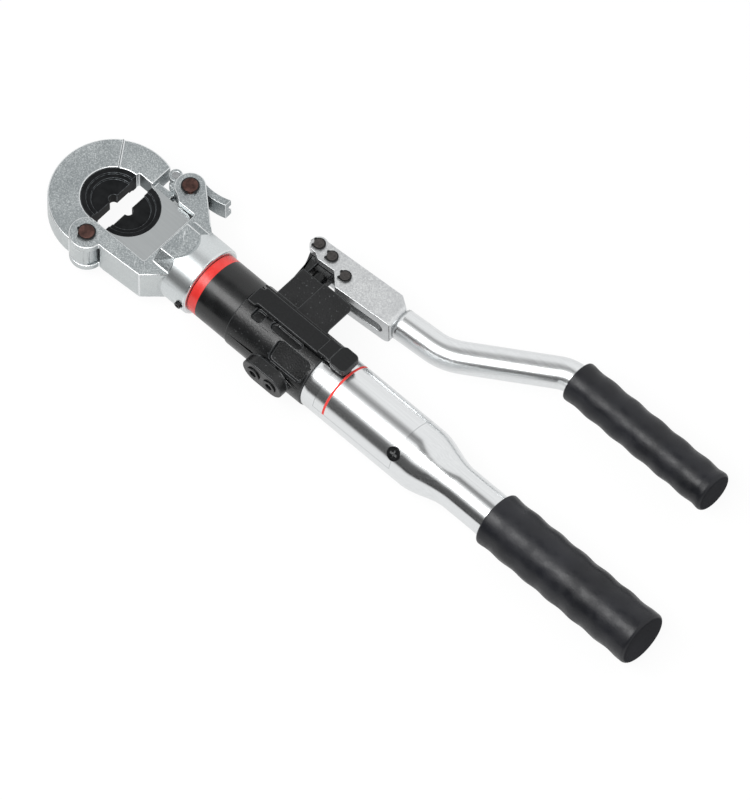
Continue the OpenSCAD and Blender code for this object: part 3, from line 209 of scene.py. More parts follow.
def dressed(node, body, material, edge_mm, steps=2, edge_finish=None, crisp=None):
    """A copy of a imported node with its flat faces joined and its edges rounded, but for crisp places."""
    weld, flat_turn = 2e-6, math.radians(0.4)
    work = bmesh.new()
    work.from_mesh(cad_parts[node].data)
    bmesh.ops.remove_doubles(work, verts=work.verts, dist=weld)
    bmesh.ops.dissolve_limit(work, angle_limit=flat_turn, verts=work.verts, edges=work.edges)
    shade(work)
    weight = work.edges.layers.float.new("bevel_weight_edge")
    for edge in work.edges:
        if not edge.smooth and not (crisp and all(crisp(*(1000 * v.co)) for v in edge.verts)):
            edge[weight] = 1.0
    piece = piece_from(work, node + "_finished", material)
    bevel = piece.modifiers.new("edges", "BEVEL")
    bevel.width = edge_mm / 1000
    bevel.segments = steps
    bevel.limit_method = "WEIGHT"
    bevel.use_clamp_overlap = False
    bevel.harden_normals = True
    bevel.miter_outer = "MITER_ARC"
    if edge_finish:
        piece.data.materials.append(edge_finish)
        bevel.material = 1
    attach(piece, body)
    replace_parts(piece, node)


# Shot-blasted zinc plate: a grey metal with a fine sparkle and a few scratches. Real grit marks and
# scratches, about 0.2 mm wide, are too fine for the picture, so they are drawn at 0.9 and 0.667 mm.
grit_mm, cloud_mm, wear_mm = 0.9, 22.0, 17.0
scratch_l_mm, scratch_w_mm, scratch_turn = 9.09, 0.667, 0.9
scratch_per_m = (1000 / scratch_l_mm, 1000 / scratch_w_mm, 1000 / scratch_l_mm)
blasted_zinc, tree, shader, place = surface("blasted_zinc")
grit = add(tree, "TexNoise", {"Vector": place, "Scale": 1000 / grit_mm, "Detail": 3.0, "Roughness": 0.65})
cloud = add(tree, "TexNoise", {"Vector": place, "Scale": 1000 / cloud_mm, "Detail": 2.0})
cast = add(tree, "Math", {0: cloud, 1: 0.35, 2: grit}, operation="MULTIPLY_ADD")
tone = add(tree, "ValToRGB", {0: cast}, stops=[(0.39, "#878d8f"), (0.66, "#a5abad"), (0.91, "#d5dada")])
slanted = add(tree, "Mapping", {"Vector": place, "Rotation": (0.0, 0.0, scratch_turn)})
slanted = add(tree, "VectorMath", {0: slanted, 1: scratch_per_m}, operation="MULTIPLY")
scratch = add(tree, "TexNoise", {"Vector": slanted, "Scale": 1.0, "Detail": 1.0})
scratch = add(tree, "ValToRGB", {0: scratch}, stops=[(0.65, 0.0), (0.72, 1.0)])
wear = add(tree, "TexNoise", {"Vector": place, "Scale": 1000 / wear_mm, "Detail": 1.0})
wear = add(tree, "ValToRGB", {0: wear}, stops=[(0.54, 0.0), (0.66, 0.8)])
scratch = add(tree, "Math", {0: scratch, 1: wear}, operation="MULTIPLY")
tone = add(tree, "Mix", {0: scratch, 6: tone, 7: linear("#eef1f2")}, out=2, data_type="RGBA")
# The walls that face the near side, outside the fork and inside its arm, are painted paler, a painted
# reflection of the white paper, and get less relief. The inner wall of the jaw's leg is painted darker:
# painted shade. Each of them fades in between two places, in metres.
spot = add(tree, "SeparateXYZ", {0: place}).node.outputs
facing_y = add(tree, "SeparateXYZ", {0: add(tree, "TexCoord", out="Normal")}, out="Y")
wall = add(tree, "MapRange", {0: facing_y, 1: -0.3, 2: -0.6})
outer, inner_from, inner_to, arm_side = [
    add(tree, "MapRange", {0: spot[axis], 1: none_at, 2: full_at})
    for axis, none_at, full_at in (("Y", -0.018, -0.022), ("Y", 0.008, 0.012), ("Y", 0.033, 0.030),
                                   ("X", 0.014, 0.018))]
inner = add(tree, "Math", {0: inner_from, 1: inner_to}, operation="MULTIPLY")
arm = add(tree, "Math", {0: inner, 1: arm_side}, operation="MULTIPLY")
painted_shade_leg = add(tree, "Math", {0: inner, 1: arm}, operation="SUBTRACT")
# Painted reflection: the walls facing the near side are painted paler.
painted_reflection_walls = add(tree, "Math", {0: outer, 1: arm}, operation="MAXIMUM")
painted_reflection_walls = add(tree, "Math", {0: wall, 1: painted_reflection_walls}, operation="MULTIPLY")
painted_reflection_tone = add(tree, "ValToRGB", {0: cast}, stops=[(0.4, "#bbc0c1"), (0.9, "#d9dddd")])
tone = add(tree, "Mix", {0: painted_reflection_walls, 6: tone, 7: painted_reflection_tone}, out=2, data_type="RGBA")
# Painted shade: the inner wall of the jaw's leg is painted darker.
painted_shade_leg = add(tree, "Math", {0: painted_shade_leg, 1: wall}, operation="MULTIPLY")
tone = add(tree, "Mix", {0: painted_shade_leg, 6: tone, 7: linear("#747a7c")}, out=2, data_type="RGBA")
# The turned collar starts behind the flats, which end in an arc about a point on the axis.
collar_x, collar_blend, arc_mid_x, arc_r, arc_blend = 0.0663, 0.001, 0.0498, 0.0202, 0.0014
behind = add(tree, "MapRange", {0: spot["X"], 1: collar_x, 2: collar_x + collar_blend})
from_mid = add(tree, "VectorMath", {0: place, 1: (arc_mid_x, 0.0, 0.0)}, operation="SUBTRACT")
from_mid = add(tree, "VectorMath", {0: from_mid, 1: (1.0, 1.0, 0.0)}, operation="MULTIPLY")
from_mid = add(tree, "VectorMath", {0: from_mid}, out="Value", operation="LENGTH")
past_arc = add(tree, "MapRange", {0: from_mid, 1: arc_r, 2: arc_r + arc_blend})
turned = add(tree, "Math", {0: behind, 1: past_arc}, operation="MULTIPLY")
turned_tone = add(tree, "ValToRGB", {0: grit}, stops=[(0.3, "#ced3d4"), (0.7, "#dfe3e4")])
tone = add(tree, "Mix", {0: turned, 6: tone, 7: turned_tone}, out=2, data_type="RGBA")
rough = add(tree, "ValToRGB", {0: grit}, stops=[(0.3, 0.36), (0.75, 0.55)])
rough = add(tree, "Mix", {0: turned, 2: rough, 3: 0.34}, data_type="FLOAT")
smooth = add(tree, "Math", {0: painted_reflection_walls, 1: 0.6}, operation="MULTIPLY")
smooth = add(tree, "Math", {0: smooth, 1: turned}, operation="MAXIMUM")
relief = add(tree, "MapRange", {0: smooth, 3: 0.4, 4: 0.04})
bump = add(tree, "Bump", {"Height": grit, "Strength": relief, "Distance": 0.00018})
fill(shader, {"Base Color": tone, "Metallic": 1.0, "Roughness": rough, "Normal": bump})

# Rubbed zinc: the same plate where edges were knocked off and hands polish it to a bright line.
rub_mm = 3.0
rubbed_zinc, tree, shader, place = surface("rubbed_zinc")
rub = add(tree, "TexNoise", {"Vector": place, "Scale": 1000 / rub_mm, "Detail": 2.0})
rough = add(tree, "ValToRGB", {0: rub}, stops=[(0.3, 0.22), (0.7, 0.34)])
fill(shader, {"Base Color": linear("#e2e5e6"), "Metallic": 1.0, "Roughness": rough})

# The flats run out softly into the turned collar, so no edge is rounded there.
dressed("fork_yoke", "head", blasted_zinc, edge_mm=0.7, steps=3, edge_finish=rubbed_zinc,
        crisp=lambda x, y, z: 62.0 < x < 76.0 and math.hypot(y, z) > 21.0)

# Upper jaw. A forged steel arch, blasted and plated like the fork, with one machined step where it
# was ground to thickness. It hangs on the hinge pin, and its lobe there keeps sharp corners.
dressed("upper_jaw", "jaw", blasted_zinc, edge_mm=0.9, steps=3, edge_finish=rubbed_zinc,
        crisp=lambda x, y, z: x > 14.0 and y < -39.0)

# Latch. A small forged fork with a grooved finger piece, blasted and plated like the jaw. It turns
# on the latch pin.
dressed("latch_lever", "latch", blasted_zinc, edge_mm=0.3, edge_finish=rubbed_zinc)

# Head pins. Turned steel pins through the fork's ears, hardened and left with their heat colour.
# Tempered steel: a dull brown with a cloudy stain.
stain_mm = 2.5
tempered, tree, shader, place = surface("tempered_steel")
stain = add(tree, "TexNoise", {"Vector": place, "Scale": 1000 / stain_mm, "Detail": 4.0})
tone = add(tree, "ValToRGB", {0: stain}, stops=[(0.3, "#33211d"), (0.6, "#533832"), (0.8, "#684c45")])
rough = add(tree, "ValToRGB", {0: stain}, stops=[(0.3, 0.38), (0.7, 0.55)])
fill(shader, {"Base Color": tone, "Metallic": 0.6, "Roughness": rough})
for node in ("hinge_pin", "latch_pin"):
    dressed(node, "head", tempered, edge_mm=0.15)

# Retaining rings, screws, plugs and plunger. Small steel pieces, stamped or turned, and blackened in
# a hot salt bath. Black oxide: a deep black with a slight oily shine that turns grey at a low angle.
oil_mm = 6.0
oxide, tree, shader, place = surface("black_oxide_steel")
oil = add(tree, "TexNoise", {"Vector": place, "Scale": 1000 / oil_mm, "Detail": 3.0})
tone = add(tree, "ValToRGB", {0: oil}, stops=[(0.3, "#0c0d0e"), (0.7, "#141516")])
rough = add(tree, "ValToRGB", {0: oil}, stops=[(0.3, 0.26), (0.7, 0.38)])
fill(shader, {"Base Color": tone, "Roughness": rough, "Specular IOR Level": 0.36})
dressed("head_circlips", "head", oxide, edge_mm=0.12, steps=1)
dressed("lever_circlips", "lever", oxide, edge_mm=0.12, steps=1)
dressed("head_set_screw", "head", oxide, edge_mm=0.2, steps=1)
dressed("valve_plugs", "body", oxide, edge_mm=0.3)
dressed("filler_plug", "body", oxide, edge_mm=0.2, steps=1)
dressed("pump_plunger", "plunger", oxide, edge_mm=0.3)

# Dies. Hardened steel half rounds, blackened and wiped dry, that slip into the jaw and the ram head.
# Dry black oxide: duller than the rings and the plugs.
dry_mm = 5.0
dry_oxide, tree, shader, place = surface("black_oxide_dies")
dry = add(tree, "TexNoise", {"Vector": place, "Scale": 1000 / dry_mm, "Detail": 3.0})
tone = add(tree, "ValToRGB", {0: dry}, stops=[(0.3, "#141516"), (0.7, "#1d1e1f")])
rough = add(tree, "ValToRGB", {0: dry}, stops=[(0.3, 0.34), (0.7, 0.46)])
fill(shader, {"Base Color": tone, "Roughness": rough, "Specular IOR Level": 0.05})
# Worn oxide and painted highlight: the dies' edges, where handling has rubbed the black through to
# grey steel, painted paler still as a painted highlight along the rims.
wear_and_highlight_mm = 2.0
wear_and_highlight_oxide, tree, shader, place = surface("wear_and_highlight_oxide")
edge_wear_and_highlight = add(tree, "TexNoise", {"Vector": place, "Scale": 1000 / wear_and_highlight_mm, "Detail": 3.0})
tone = add(tree, "ValToRGB", {0: edge_wear_and_highlight}, stops=[(0.35, "#2c2e30"), (0.7, "#64686b")])
rough = add(tree, "ValToRGB", {0: edge_wear_and_highlight}, stops=[(0.35, 0.46), (0.7, 0.34)])
fill(shader, {"Base Color": tone, "Metallic": 0.7, "Roughness": rough})
# The dies' edges carry the pale edge oxide: wear and a painted highlight.
dressed("upper_die", "jaw", dry_oxide, edge_mm=0.35, edge_finish=wear_and_highlight_oxide)
dressed("lower_die", "ram", dry_oxide, edge_mm=0.35, edge_finish=wear_and_highlight_oxide)

# Lever pins. Hardened steel pins through the bracket, ground to size. Ground pin steel: a dull grey
# brown that reads apart from the black rings.
grind_mm = 2.0
pin_steel, tree, shader, place = surface("ground_pin_steel")
grind = add(tree, "TexNoise", {"Vector": place, "Scale": 1000 / grind_mm, "Detail": 4.0})
tone = add(tree, "ValToRGB", {0: grind}, stops=[(0.3, "#2e2c2b"), (0.7, "#494644")])
rough = add(tree, "ValToRGB", {0: grind}, stops=[(0.3, 0.40), (0.7, 0.55)])
fill(shader, {"Base Color": tone, "Metallic": 0.5, "Roughness": rough})
for node in ("fulcrum_pin", "plunger_pin", "stop_pin"):
    dressed(node, "lever", pin_steel, edge_mm=0.15)

# Ram head and cylinder. Steel, plated after grinding. The ram head is a plate that slides between the
# fork's arms, and the cylinder is screwed into the pump. Ground steel: smoother than the casting,
# with faint lines the way that the stone ran, drawn coarser than the real ones of 0.1 mm.
stone_l_mm, stone_w_mm = 25.0, 0.714
stone_per_m = (1000 / stone_l_mm, 1000 / stone_w_mm, 1000 / stone_w_mm)
ground_steel, tree, shader, place = surface("ground_steel")
stone_at = add(tree, "VectorMath", {0: place, 1: stone_per_m}, operation="MULTIPLY")
stone = add(tree, "TexNoise", {"Vector": stone_at, "Scale": 1.0, "Detail": 2.0})
tone = add(tree, "ValToRGB", {0: stone}, stops=[(0.3, "#bfc3c4"), (0.7, "#c4c8c9")])
rough = add(tree, "ValToRGB", {0: stone}, stops=[(0.3, 0.345), (0.7, 0.36)])
fill(shader, {"Base Color": tone, "Metallic": 1.0, "Roughness": rough})
dressed("ram_head", "ram", ground_steel, edge_mm=0.3)
dressed("ram_cylinder", "body", ground_steel, edge_mm=0.3)

# Rod, small pins, stem and valve balls. Hardened steel, lapped or polished so that seals last on it.
# Polished steel: a bright mirror with a slight haze.
haze_mm = 4.0
bright_steel, tree, shader, place = surface("polished_steel")
haze = add(tree, "TexNoise", {"Vector": place, "Scale": 1000 / haze_mm, "Detail": 2.0})
rough = add(tree, "ValToRGB", {0: haze}, stops=[(0.3, 0.12), (0.7, 0.22)])
fill(shader, {"Base Color": linear("#d3d6d8"), "Metallic": 1.0, "Roughness": rough})
for node in ("ram_piston", "latch_catch_pin", "release_pivot_pin", "release_stem", "valve_balls"):
    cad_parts[node].data.materials.clear()
    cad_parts[node].data.materials.append(bright_steel)


# Springs. Round drawn steel wire, wound cold: the latch's torsion spring, the ram's return spring,
# the two valve springs and the release spring.
def mesh_piece(name, body, slot, material, points, faces):
    """A new smooth piece from its points in millimetres."""
    work = bmesh.new()
    corners = [work.verts.new((x / 1000, y / 1000, z / 1000)) for x, y, z in points]
    for face in faces:
        work.faces.new([corners[i] for i in face])
    shade(work)
    piece = piece_from(work, name, material)
    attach(piece, body)
    return piece


def tube_skin(rings, looped=False):
    """Points and faces over rings of equally many points, closed by caps or back to the first ring."""
    count, total = len(rings[0]), len(rings)
    points = [p for ring in rings for p in ring]
    faces = []
    for i in range(total if looped else total - 1):
        j = (i + 1) % total
        for k in range(count):
            n = (k + 1) % count
            faces.append((i * count + k, j * count + k, j * count + n, i * count + n))
    if not looped:
        faces.append(tuple(range(count)))
        faces.append(tuple(range(len(points) - count, len(points))))
    return points, faces


def coil_rings(start, axis, radius, wire, height, turns):
    """Rings of round wire wound along an axis (0 is X, 1 is -Y and 2 is Z) from its start."""
    per_turn, sides = 32, 12
    pitch = (height - wire) / turns
    rings = []
    for i in range(round(turns * per_turn) + 1):
        turn = math.tau * i / per_turn
        ring = []
        for k in range(sides):
            round_wire = math.tau * k / sides
            r = radius + wire / 2 * math.cos(round_wire)
            u, v = r * math.cos(turn), r * math.sin(turn)
            w = wire / 2 + pitch * i / per_turn + wire / 2 * math.sin(round_wire)
            offset = ((w, u, v), (u, -w, v), (u, v, w))[axis]
            ring.append(tuple(s + o for s, o in zip(start, offset)))
        rings.append(ring)
    return rings


def coil_piece(name, body, node, coils):
    """One piece that holds every coil of a node."""
    points, faces = [], []
    for coil in coils:
        more, skin = tube_skin(coil_rings(**coil))
        faces += [tuple(i + len(points) for i in face) for face in skin]
        points += more
    piece = mesh_piece(name, body, "bright_steel", bright_steel, points, faces)
    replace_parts(piece, node)
    return piece


coil_piece("latch_spring_wire", "latch", "latch_spring",
           [dict(start=(33.3, 37.2, -3.8), axis=2, radius=6.35, wire=1.2, height=7.6, turns=3.5)])
return_x0, return_l, ram_stroke = 80.45, 37.7, 13.1
spring = coil_piece("return_spring_wire", "ram", "return_spring",
                    [dict(start=(return_x0, 0, 0), axis=0, radius=11.775, wire=3.0, height=return_l,
                          turns=7)])
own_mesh(spring)
coil_piece("valve_spring_wire", "body", "valve_springs",
           [dict(start=(x, -15.25, 0), axis=1, radius=2.55, wire=0.9, height=6.15, turns=4)
            for x in (153.5, 167.5)])
stem_x, stem_y, release_z0, release_l, stem_stroke = 172, 5.4, -3.95, 11.9, 1.16
spring = coil_piece("release_spring_wire", "body", "release_spring",
                    [dict(start=(stem_x, stem_y, release_z0), axis=2, radius=1.6, wire=0.9,
                          height=release_l, turns=5)])
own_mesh(spring)


# Label bands. Printed plastic film, wrapped round the cylinder and glued: a red band against the head
# and a black one behind it. Their edges turn down on the steel.
def lathe(name, body, slot, material, outline, axis_y=0.0, sides=128):
    """A turned piece about the tool's axis, or a line beside it, from (x, radius) points."""
    rings = []
    for k in range(sides):
        turn = math.tau * k / sides
        rings.append([(x, axis_y + r * math.cos(turn), r * math.sin(turn)) for x, r in outline])
    return mesh_piece(name, body, slot, material, *tube_skin(rings, looped=True))


# Printed film: an even colour with a gloss that the ink makes slightly uneven.
cylinder_r, film_t, film_edge, ink_mm = 22.2, 0.3, 0.1, 9.0
top = cylinder_r + film_t
for node, slot, x0, x1, deep, pale in (
        ("front_label_band", "red_film", 87.3, 94.3, "#c92d29", "#d93a35"),
        ("rear_label_band", "black_film", 94.3, 121.0, "#0d0e0f", "#141516")):
    printed, tree, shader, place = surface(slot.replace("film", "printed_film"))
    ink = add(tree, "TexNoise", {"Vector": place, "Scale": 1000 / ink_mm, "Detail": 2.0})
    tone = add(tree, "ValToRGB", {0: ink}, stops=[(0.3, deep), (0.7, pale)])
    rough = add(tree, "ValToRGB", {0: ink}, stops=[(0.3, 0.22), (0.7, 0.32)])
    fill(shader, {"Base Color": tone, "Roughness": rough})
    outline = [(x0, cylinder_r), (x0, top - film_edge), (x0 + film_edge, top),
               (x1 - film_edge, top), (x1, top - film_edge), (x1, cylinder_r)]
    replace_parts(lathe(node + "_film", "body", slot, printed, outline), node)

# Pump body. An aluminium casting with bored valves, black anodised, that the cylinder and the
# reservoir tube screw into. Black anodised casting: a fine sand skin, drawn at 1.1 mm where the real
# one is 0.3 mm, with a few pale specks where the black has chipped off.
sand_mm, patch_mm, speck_mm = 1.1, 18.0, 1.6
casting, tree, shader, place = surface("black_anodised_casting")
sand = add(tree, "TexNoise", {"Vector": place, "Scale": 1000 / sand_mm, "Detail": 3.0, "Roughness": 0.6})
patch = add(tree, "TexNoise", {"Vector": place, "Scale": 1000 / patch_mm, "Detail": 3.0})
speck = add(tree, "TexNoise", {"Vector": place, "Scale": 1000 / speck_mm, "Detail": 1.0})
speck = add(tree, "ValToRGB", {0: speck}, stops=[(0.67, 0.0), (0.74, 0.8)])
tone = add(tree, "ValToRGB", {0: patch}, stops=[(0.3, "#0b0c0d"), (0.7, "#131415")])
tone = add(tree, "Mix", {0: speck, 6: tone, 7: linear("#4b4d4e")}, out=2, data_type="RGBA")
rough = add(tree, "ValToRGB", {0: patch}, stops=[(0.3, 0.25), (0.7, 0.34)])
bump = add(tree, "Bump", {"Height": sand, "Strength": 0.55, "Distance": 0.0002})
fill(shader, {"Base Color": tone, "Roughness": rough, "Specular IOR Level": 0.5, "Normal": bump})
# Rubbed anodise: edges where the black has worn to a dark grey with a soft shine.
edge_rub_mm = 4.0
rubbed_black, tree, shader, place = surface("rubbed_anodise")
rub = add(tree, "TexNoise", {"Vector": place, "Scale": 1000 / edge_rub_mm, "Detail": 3.0})
tone = add(tree, "ValToRGB", {0: rub}, stops=[(0.3, "#191a1b"), (0.7, "#323436")])
rough = add(tree, "ValToRGB", {0: rub}, stops=[(0.3, 0.40), (0.7, 0.28)])
fill(shader, {"Base Color": tone, "Roughness": rough})
dressed("pump_body", "body", casting, edge_mm=0.8, steps=3, edge_finish=rubbed_black)

# Release lever. A pressed steel bar with a thumb pad, powder coated black, that rocks on a small pin
# in the pump body. Powder coat: a dull skin with a faint orange peel.
peel_mm = 1.4
powder, tree, shader, place = surface("black_powder_coat")
peel = add(tree, "TexNoise", {"Vector": place, "Scale": 1000 / peel_mm, "Detail": 2.0})
tone = add(tree, "ValToRGB", {0: peel}, stops=[(0.3, "#101112"), (0.7, "#171819")])
bump = add(tree, "Bump", {"Height": peel, "Strength": 0.3, "Distance": 0.0002})
fill(shader, {"Base Color": tone, "Roughness": 0.42, "Specular IOR Level": 0.28, "Normal": bump})
dressed("release_lever", "release", powder, edge_mm=0.7, steps=3,
        edge_finish=rubbed_black)

# Lever bracket. Milled from aluminium bar with a groove along its inner side, and carried on the
# fulcrum pin. Bead-blasted aluminium: paler than the steel head, with a fine dimple drawn at 0.9 mm,
# since real ones of 0.2 mm don't show.
dimple_mm, bar_cloud_mm = 0.9, 25.0
bead_blasted, tree, shader, place = surface("bead_blasted_aluminium")
dimple = add(tree, "TexNoise", {"Vector": place, "Scale": 1000 / dimple_mm, "Detail": 2.0})
cloud = add(tree, "TexNoise", {"Vector": place, "Scale": 1000 / bar_cloud_mm, "Detail": 2.0})
tone = add(tree, "Math", {0: cloud, 1: 0.5, 2: dimple}, operation="MULTIPLY_ADD")
tone = add(tree, "ValToRGB", {0: tone}, stops=[(0.5, "#ccced0"), (0.75, "#d9dbdc"), (1.0, "#e6e8e8")])
rough = add(tree, "ValToRGB", {0: dimple}, stops=[(0.3, 0.34), (0.7, 0.48)])
bump = add(tree, "Bump", {"Height": dimple, "Strength": 0.25, "Distance": 0.0001})
fill(shader, {"Base Color": tone, "Metallic": 1.0, "Roughness": rough, "Normal": bump})
dressed("lever_bracket", "lever", bead_blasted, edge_mm=0.5, steps=3)

# Reservoir tube. Drawn aluminium tube, spun down to a neck at the grip, polished on a wheel and
# screwed into the pump body. A clear film with one red stripe is wrapped over its upper side.
tube_r, tube_wall, neck_r = 22.5, 2.4, 15.7
tube_x0, taper_x, neck_x, tube_x1 = 188.0, 275.0, 309.0, 465.2
taper_steps, straight_steps, straight_step = 48, 20, 4.0
film_mid, film_half, film_turn, film_span = 0.233, 0.034, math.radians(100), math.radians(72)
film_rim, stripe_x, stripe_half, film_blend = 0.0003, 0.208, 0.0008, 0.0001
# Polished aluminium with film: a mirror broken up by very fine lines along the tube, drawn coarser
# than the real ones of 0.1 mm. It is a little duller under the film, which ends in a faint line.
draw_l_mm, draw_w_mm = 71.4, 1.11
draw_per_m = (1000 / draw_l_mm, 1000 / draw_w_mm, 1000 / draw_w_mm)
aluminium_tones = [(0.3, "#e2e4e5"), (0.7, "#ebedee")]
filmed, tree, shader, place = surface("polished_aluminium_with_film")
draw_at = add(tree, "VectorMath", {0: place, 1: draw_per_m}, operation="MULTIPLY")
draw = add(tree, "TexNoise", {"Vector": draw_at, "Scale": 1.0, "Detail": 3.0})
spot = add(tree, "SeparateXYZ", {0: place}).node.outputs
off_x = add(tree, "Math", {0: spot["X"], 1: film_mid}, operation="SUBTRACT")
off_x = add(tree, "Math", {0: off_x}, operation="ABSOLUTE")
in_x = add(tree, "Math", {0: film_half, 1: off_x}, operation="SUBTRACT")
turn = add(tree, "Math", {0: spot["Z"], 1: spot["Y"]}, operation="ARCTAN2")
off_turn = add(tree, "Math", {0: turn, 1: film_turn}, operation="SUBTRACT")
off_turn = add(tree, "Math", {0: off_turn}, operation="ABSOLUTE")
in_turn = add(tree, "Math", {0: film_span, 1: off_turn}, operation="SUBTRACT")
in_turn = add(tree, "Math", {0: in_turn, 1: tube_r / 1000}, operation="MULTIPLY")
inside = add(tree, "Math", {0: in_x, 1: in_turn}, operation="MINIMUM")
film = add(tree, "MapRange", {0: inside, 1: 0.0, 2: film_blend})
rim = add(tree, "MapRange", {0: inside, 1: film_rim, 2: film_rim + film_blend, 3: 1.0, 4: 0.0})
rim = add(tree, "Math", {0: film, 1: rim}, operation="MULTIPLY")
stripe = add(tree, "Math", {0: spot["X"], 1: stripe_x}, operation="SUBTRACT")
stripe = add(tree, "Math", {0: stripe}, operation="ABSOLUTE")
stripe = add(tree, "MapRange", {0: stripe, 1: stripe_half, 2: stripe_half + film_blend, 3: 1.0, 4: 0.0})
stripe = add(tree, "Math", {0: stripe, 1: film}, operation="MULTIPLY")
tone = add(tree, "ValToRGB", {0: draw}, stops=aluminium_tones)
tone = add(tree, "Mix", {0: rim, 6: tone, 7: linear("#a4a8aa")}, out=2, data_type="RGBA")
tone = add(tree, "Mix", {0: stripe, 6: tone, 7: linear("#d8413c")}, out=2, data_type="RGBA")
bare = add(tree, "Math", {0: 1.0, 1: stripe}, operation="SUBTRACT")
rough = add(tree, "ValToRGB", {0: draw}, stops=[(0.3, 0.15), (0.7, 0.21)])
rough = add(tree, "Mix", {0: film, 2: rough, 3: 0.22}, data_type="FLOAT")
rough = add(tree, "Mix", {0: stripe, 2: rough, 3: 0.5}, data_type="FLOAT")
fill(shader, {"Base Color": tone, "Metallic": bare, "Roughness": rough, "Specular IOR Level": 0.2})
skin = [(tube_x0, tube_r - 0.5), (tube_x0 + 0.15, tube_r - 0.15), (tube_x0 + 0.5, tube_r)]
skin += [(tube_x0 + step * straight_step, tube_r) for step in range(1, straight_steps + 1)]
for i in range(taper_steps + 1):
    part = i / taper_steps
    fall = (1 + math.cos(math.pi * part)) / 2
    skin.append((taper_x + (neck_x - taper_x) * part, neck_r + (tube_r - neck_r) * fall))
skin.append((tube_x1, neck_r))
bore = [(x, r - tube_wall) for x, r in reversed(skin)]
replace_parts(lathe("reservoir_tube_polished", "body", "bright_tube", filmed, skin + bore, sides=192),
            "reservoir_tube")

# Lever tube. A smaller aluminium tube, polished, bent twice round a former and pressed into the
# bracket, where smooth shading across its rim paints a thin dark line of shade. Polished aluminium:
# a soft mirror with the same fine lines.
polished, tree, shader, place = surface("polished_aluminium")
draw_at = add(tree, "VectorMath", {0: place, 1: draw_per_m}, operation="MULTIPLY")
draw = add(tree, "TexNoise", {"Vector": draw_at, "Scale": 1.0, "Detail": 3.0})
tone = add(tree, "ValToRGB", {0: draw}, stops=aluminium_tones)
rough = add(tree, "ValToRGB", {0: draw}, stops=[(0.3, 0.235), (0.7, 0.27)])
fill(shader, {"Base Color": tone, "Metallic": 1.0, "Roughness": rough})
fulcrum_x, fulcrum_y = 123.0, 64.0
bracket_turn, middle_turn = math.radians(4.0), math.radians(33.5)
socket_along, socket_drop = 74.05, 6.2
lever_path = [(fulcrum_x + socket_along * math.cos(bracket_turn) + socket_drop * math.sin(bracket_turn),
               fulcrum_y + socket_along * math.sin(bracket_turn) - socket_drop * math.cos(bracket_turn),
               bracket_turn)]


def run(length, steps):
    """Carries the lever's path straight on."""
    for i in range(steps):
        x, y, turn = lever_path[-1]
        lever_path.append((x + length / steps * math.cos(turn), y + length / steps * math.sin(turn), turn))


def bend(radius, to_turn, steps):
    """Bends the lever's path to a new turn."""
    x, y, turn = lever_path[-1]
    side = 1 if to_turn > turn else -1
    mid_x, mid_y = x - side * radius * math.sin(turn), y + side * radius * math.cos(turn)
    for i in range(1, steps + 1):
        at = turn + (to_turn - turn) * i / steps
        lever_path.append((mid_x + side * radius * math.sin(at), mid_y - side * radius * math.cos(at), at))


run(26.5, 8)
bend(40.0, middle_turn, 20)
run(63.5, 16)
bend(24.0, 0.0, 24)
grip_x, grip_y, _ = lever_path[-1]
run(115.2, 4)
lever_tube_r, lever_bore_r, tube_sides = 10.75, 8.75, 96
rings = []
for radius, stations in ((lever_tube_r, lever_path), (lever_bore_r, lever_path[::-1])):
    for x, y, turn in stations:
        ring = []
        for k in range(tube_sides):
            out = radius * math.cos(math.tau * k / tube_sides)
            up = radius * math.sin(math.tau * k / tube_sides)
            ring.append((x - out * math.sin(turn), y + out * math.cos(turn), up))
        rings.append(ring)
points, faces = tube_skin(rings, looped=True)
lever_tube = mesh_piece("lever_tube_polished", "lever", "bright_tube", polished, points, faces)
# Painted shade: smooth shading across the tube's first rim paints a thin dark line at the bracket.
for edge in lever_tube.data.edges:
    if max(edge.vertices) < tube_sides:
        edge.use_edge_sharp = False
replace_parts(lever_tube, "lever_tube")

# Grips. Moulded rubber sleeves pushed over the tubes, with shallow finger waves, a rounded lip and a
# closed end. Moulded rubber: charcoal with a patchy soft sheen and a dull end. Its grain of 0.3 mm
# is drawn at 1.2 mm.
pore_mm, bloom_mm, sheen_mm = 1.2, 30.0, 8.0
rubber, tree, shader, place = surface("moulded_rubber")
pore = add(tree, "TexNoise", {"Vector": place, "Scale": 1000 / pore_mm, "Detail": 3.0, "Roughness": 0.6})
bloom = add(tree, "TexNoise", {"Vector": place, "Scale": 1000 / bloom_mm, "Detail": 3.0})
tone = add(tree, "ValToRGB", {0: bloom}, stops=[(0.3, "#121317"), (0.7, "#1c1d22")])
sheen = add(tree, "TexNoise", {"Vector": place, "Scale": 1000 / sheen_mm, "Detail": 3.0})
sheen = add(tree, "Math", {0: pore, 1: 0.4, 2: sheen}, operation="MULTIPLY_ADD")
rough = add(tree, "ValToRGB", {0: sheen}, stops=[(0.56, 0.30), (0.86, 0.49)])
facing_x = add(tree, "SeparateXYZ", {0: add(tree, "TexCoord", out="Normal")}, out="X")
end_face = add(tree, "MapRange", {0: facing_x, 1: 0.75, 2: 0.97})
rough = add(tree, "Mix", {0: end_face, 2: rough, 3: 0.85}, data_type="FLOAT")
gloss = add(tree, "MapRange", {0: end_face, 3: 0.36, 4: 0.16})
bump = add(tree, "Bump", {"Height": pore, "Strength": 0.3, "Distance": 0.0002})
fill(shader, {"Base Color": tone, "Roughness": rough, "Specular IOR Level": gloss, "Normal": bump})
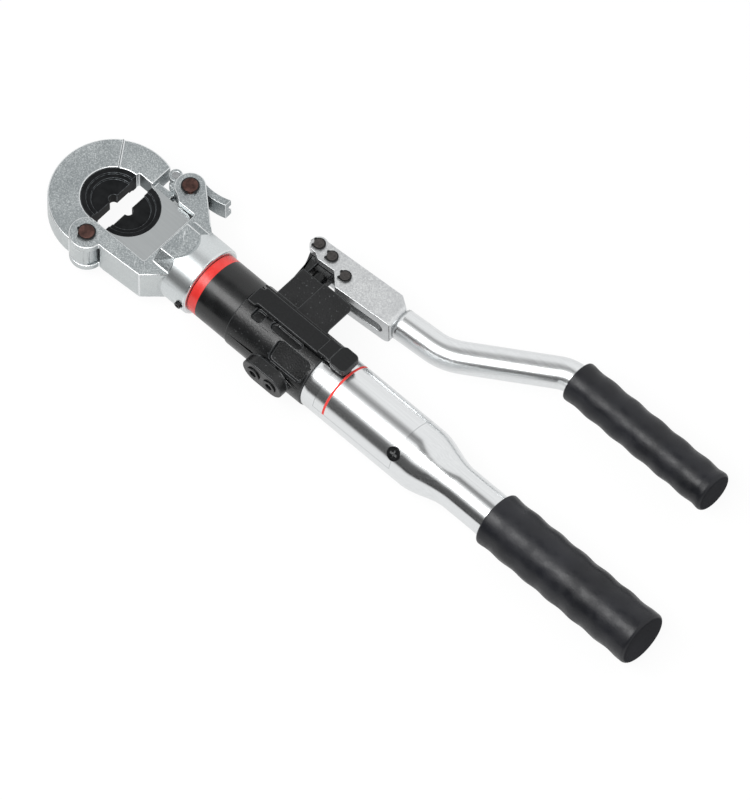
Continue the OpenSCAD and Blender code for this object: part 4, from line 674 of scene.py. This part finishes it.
wave_h, wave_pitch, wave_lead, grip_edge, grip_floor, grip_pole = 0.7, 20.6, 5.0, 3.0, 5.5, 0.05


def grip(name, body, node, x0, length, radius, bore_r, axis_y):
    """A closed rubber sleeve with waves along it and a rolled lip at its open end."""
    span = length - grip_edge
    outline = [(x0 + length - grip_floor, grip_pole), (x0 + length - grip_floor, bore_r),
               (x0 + 0.6, bore_r), (x0 + 0.15, bore_r + 0.4), (x0, bore_r + 0.9),
               (x0, radius - 0.9), (x0 + 0.3, radius - 0.35), (x0 + 0.9, radius - 0.02)]
    steps = round(span * 0.8)
    for i in range(2, steps + 1):
        x = span * i / steps
        fade = min(1, x / wave_lead) * min(1, (span - x) / wave_lead)
        outline.append((x0 + x, radius - wave_h * (1 - math.cos(math.tau * x / wave_pitch)) / 2 * fade))
    for i in range(1, 9):
        turn = math.pi / 2 * i / 8
        outline.append((x0 + span + grip_edge * math.sin(turn), radius - grip_edge * (1 - math.cos(turn))))
    outline += [(x0 + length, 0.6 * radius), (x0 + length, grip_pole)]
    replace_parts(lathe(name, body, "grip_rubber", rubber, outline, axis_y, sides=96), node)


grip("body_grip_sleeve", "body", "body_grip",
     x0=341.0, length=130.0, radius=19.5, bore_r=15.75, axis_y=0.0)
grip("lever_grip_sleeve", "lever", "lever_grip",
     x0=grip_x, length=121.0, radius=14.7, bore_r=10.8, axis_y=grip_y)

# Seals and bladder. Moulded rubber rings in the cylinder, the pump and the reservoir, and the bag that
# holds the oil. Nitrile rubber: a plain dull black.
mould_mm = 3.0
nitrile, tree, shader, place = surface("nitrile_rubber")
mould = add(tree, "TexNoise", {"Vector": place, "Scale": 1000 / mould_mm, "Detail": 2.0})
tone = add(tree, "ValToRGB", {0: mould}, stops=[(0.3, "#1a1a1b"), (0.7, "#212122")])
fill(shader, {"Base Color": tone, "Roughness": 0.6})
for node, body in (("piston_seal", "ram"), ("plunger_seal", "body"), ("reservoir_seal", "body"),
                   ("oil_bladder", "body")):
    dressed(node, body, nitrile, edge_mm=0.3, steps=3)
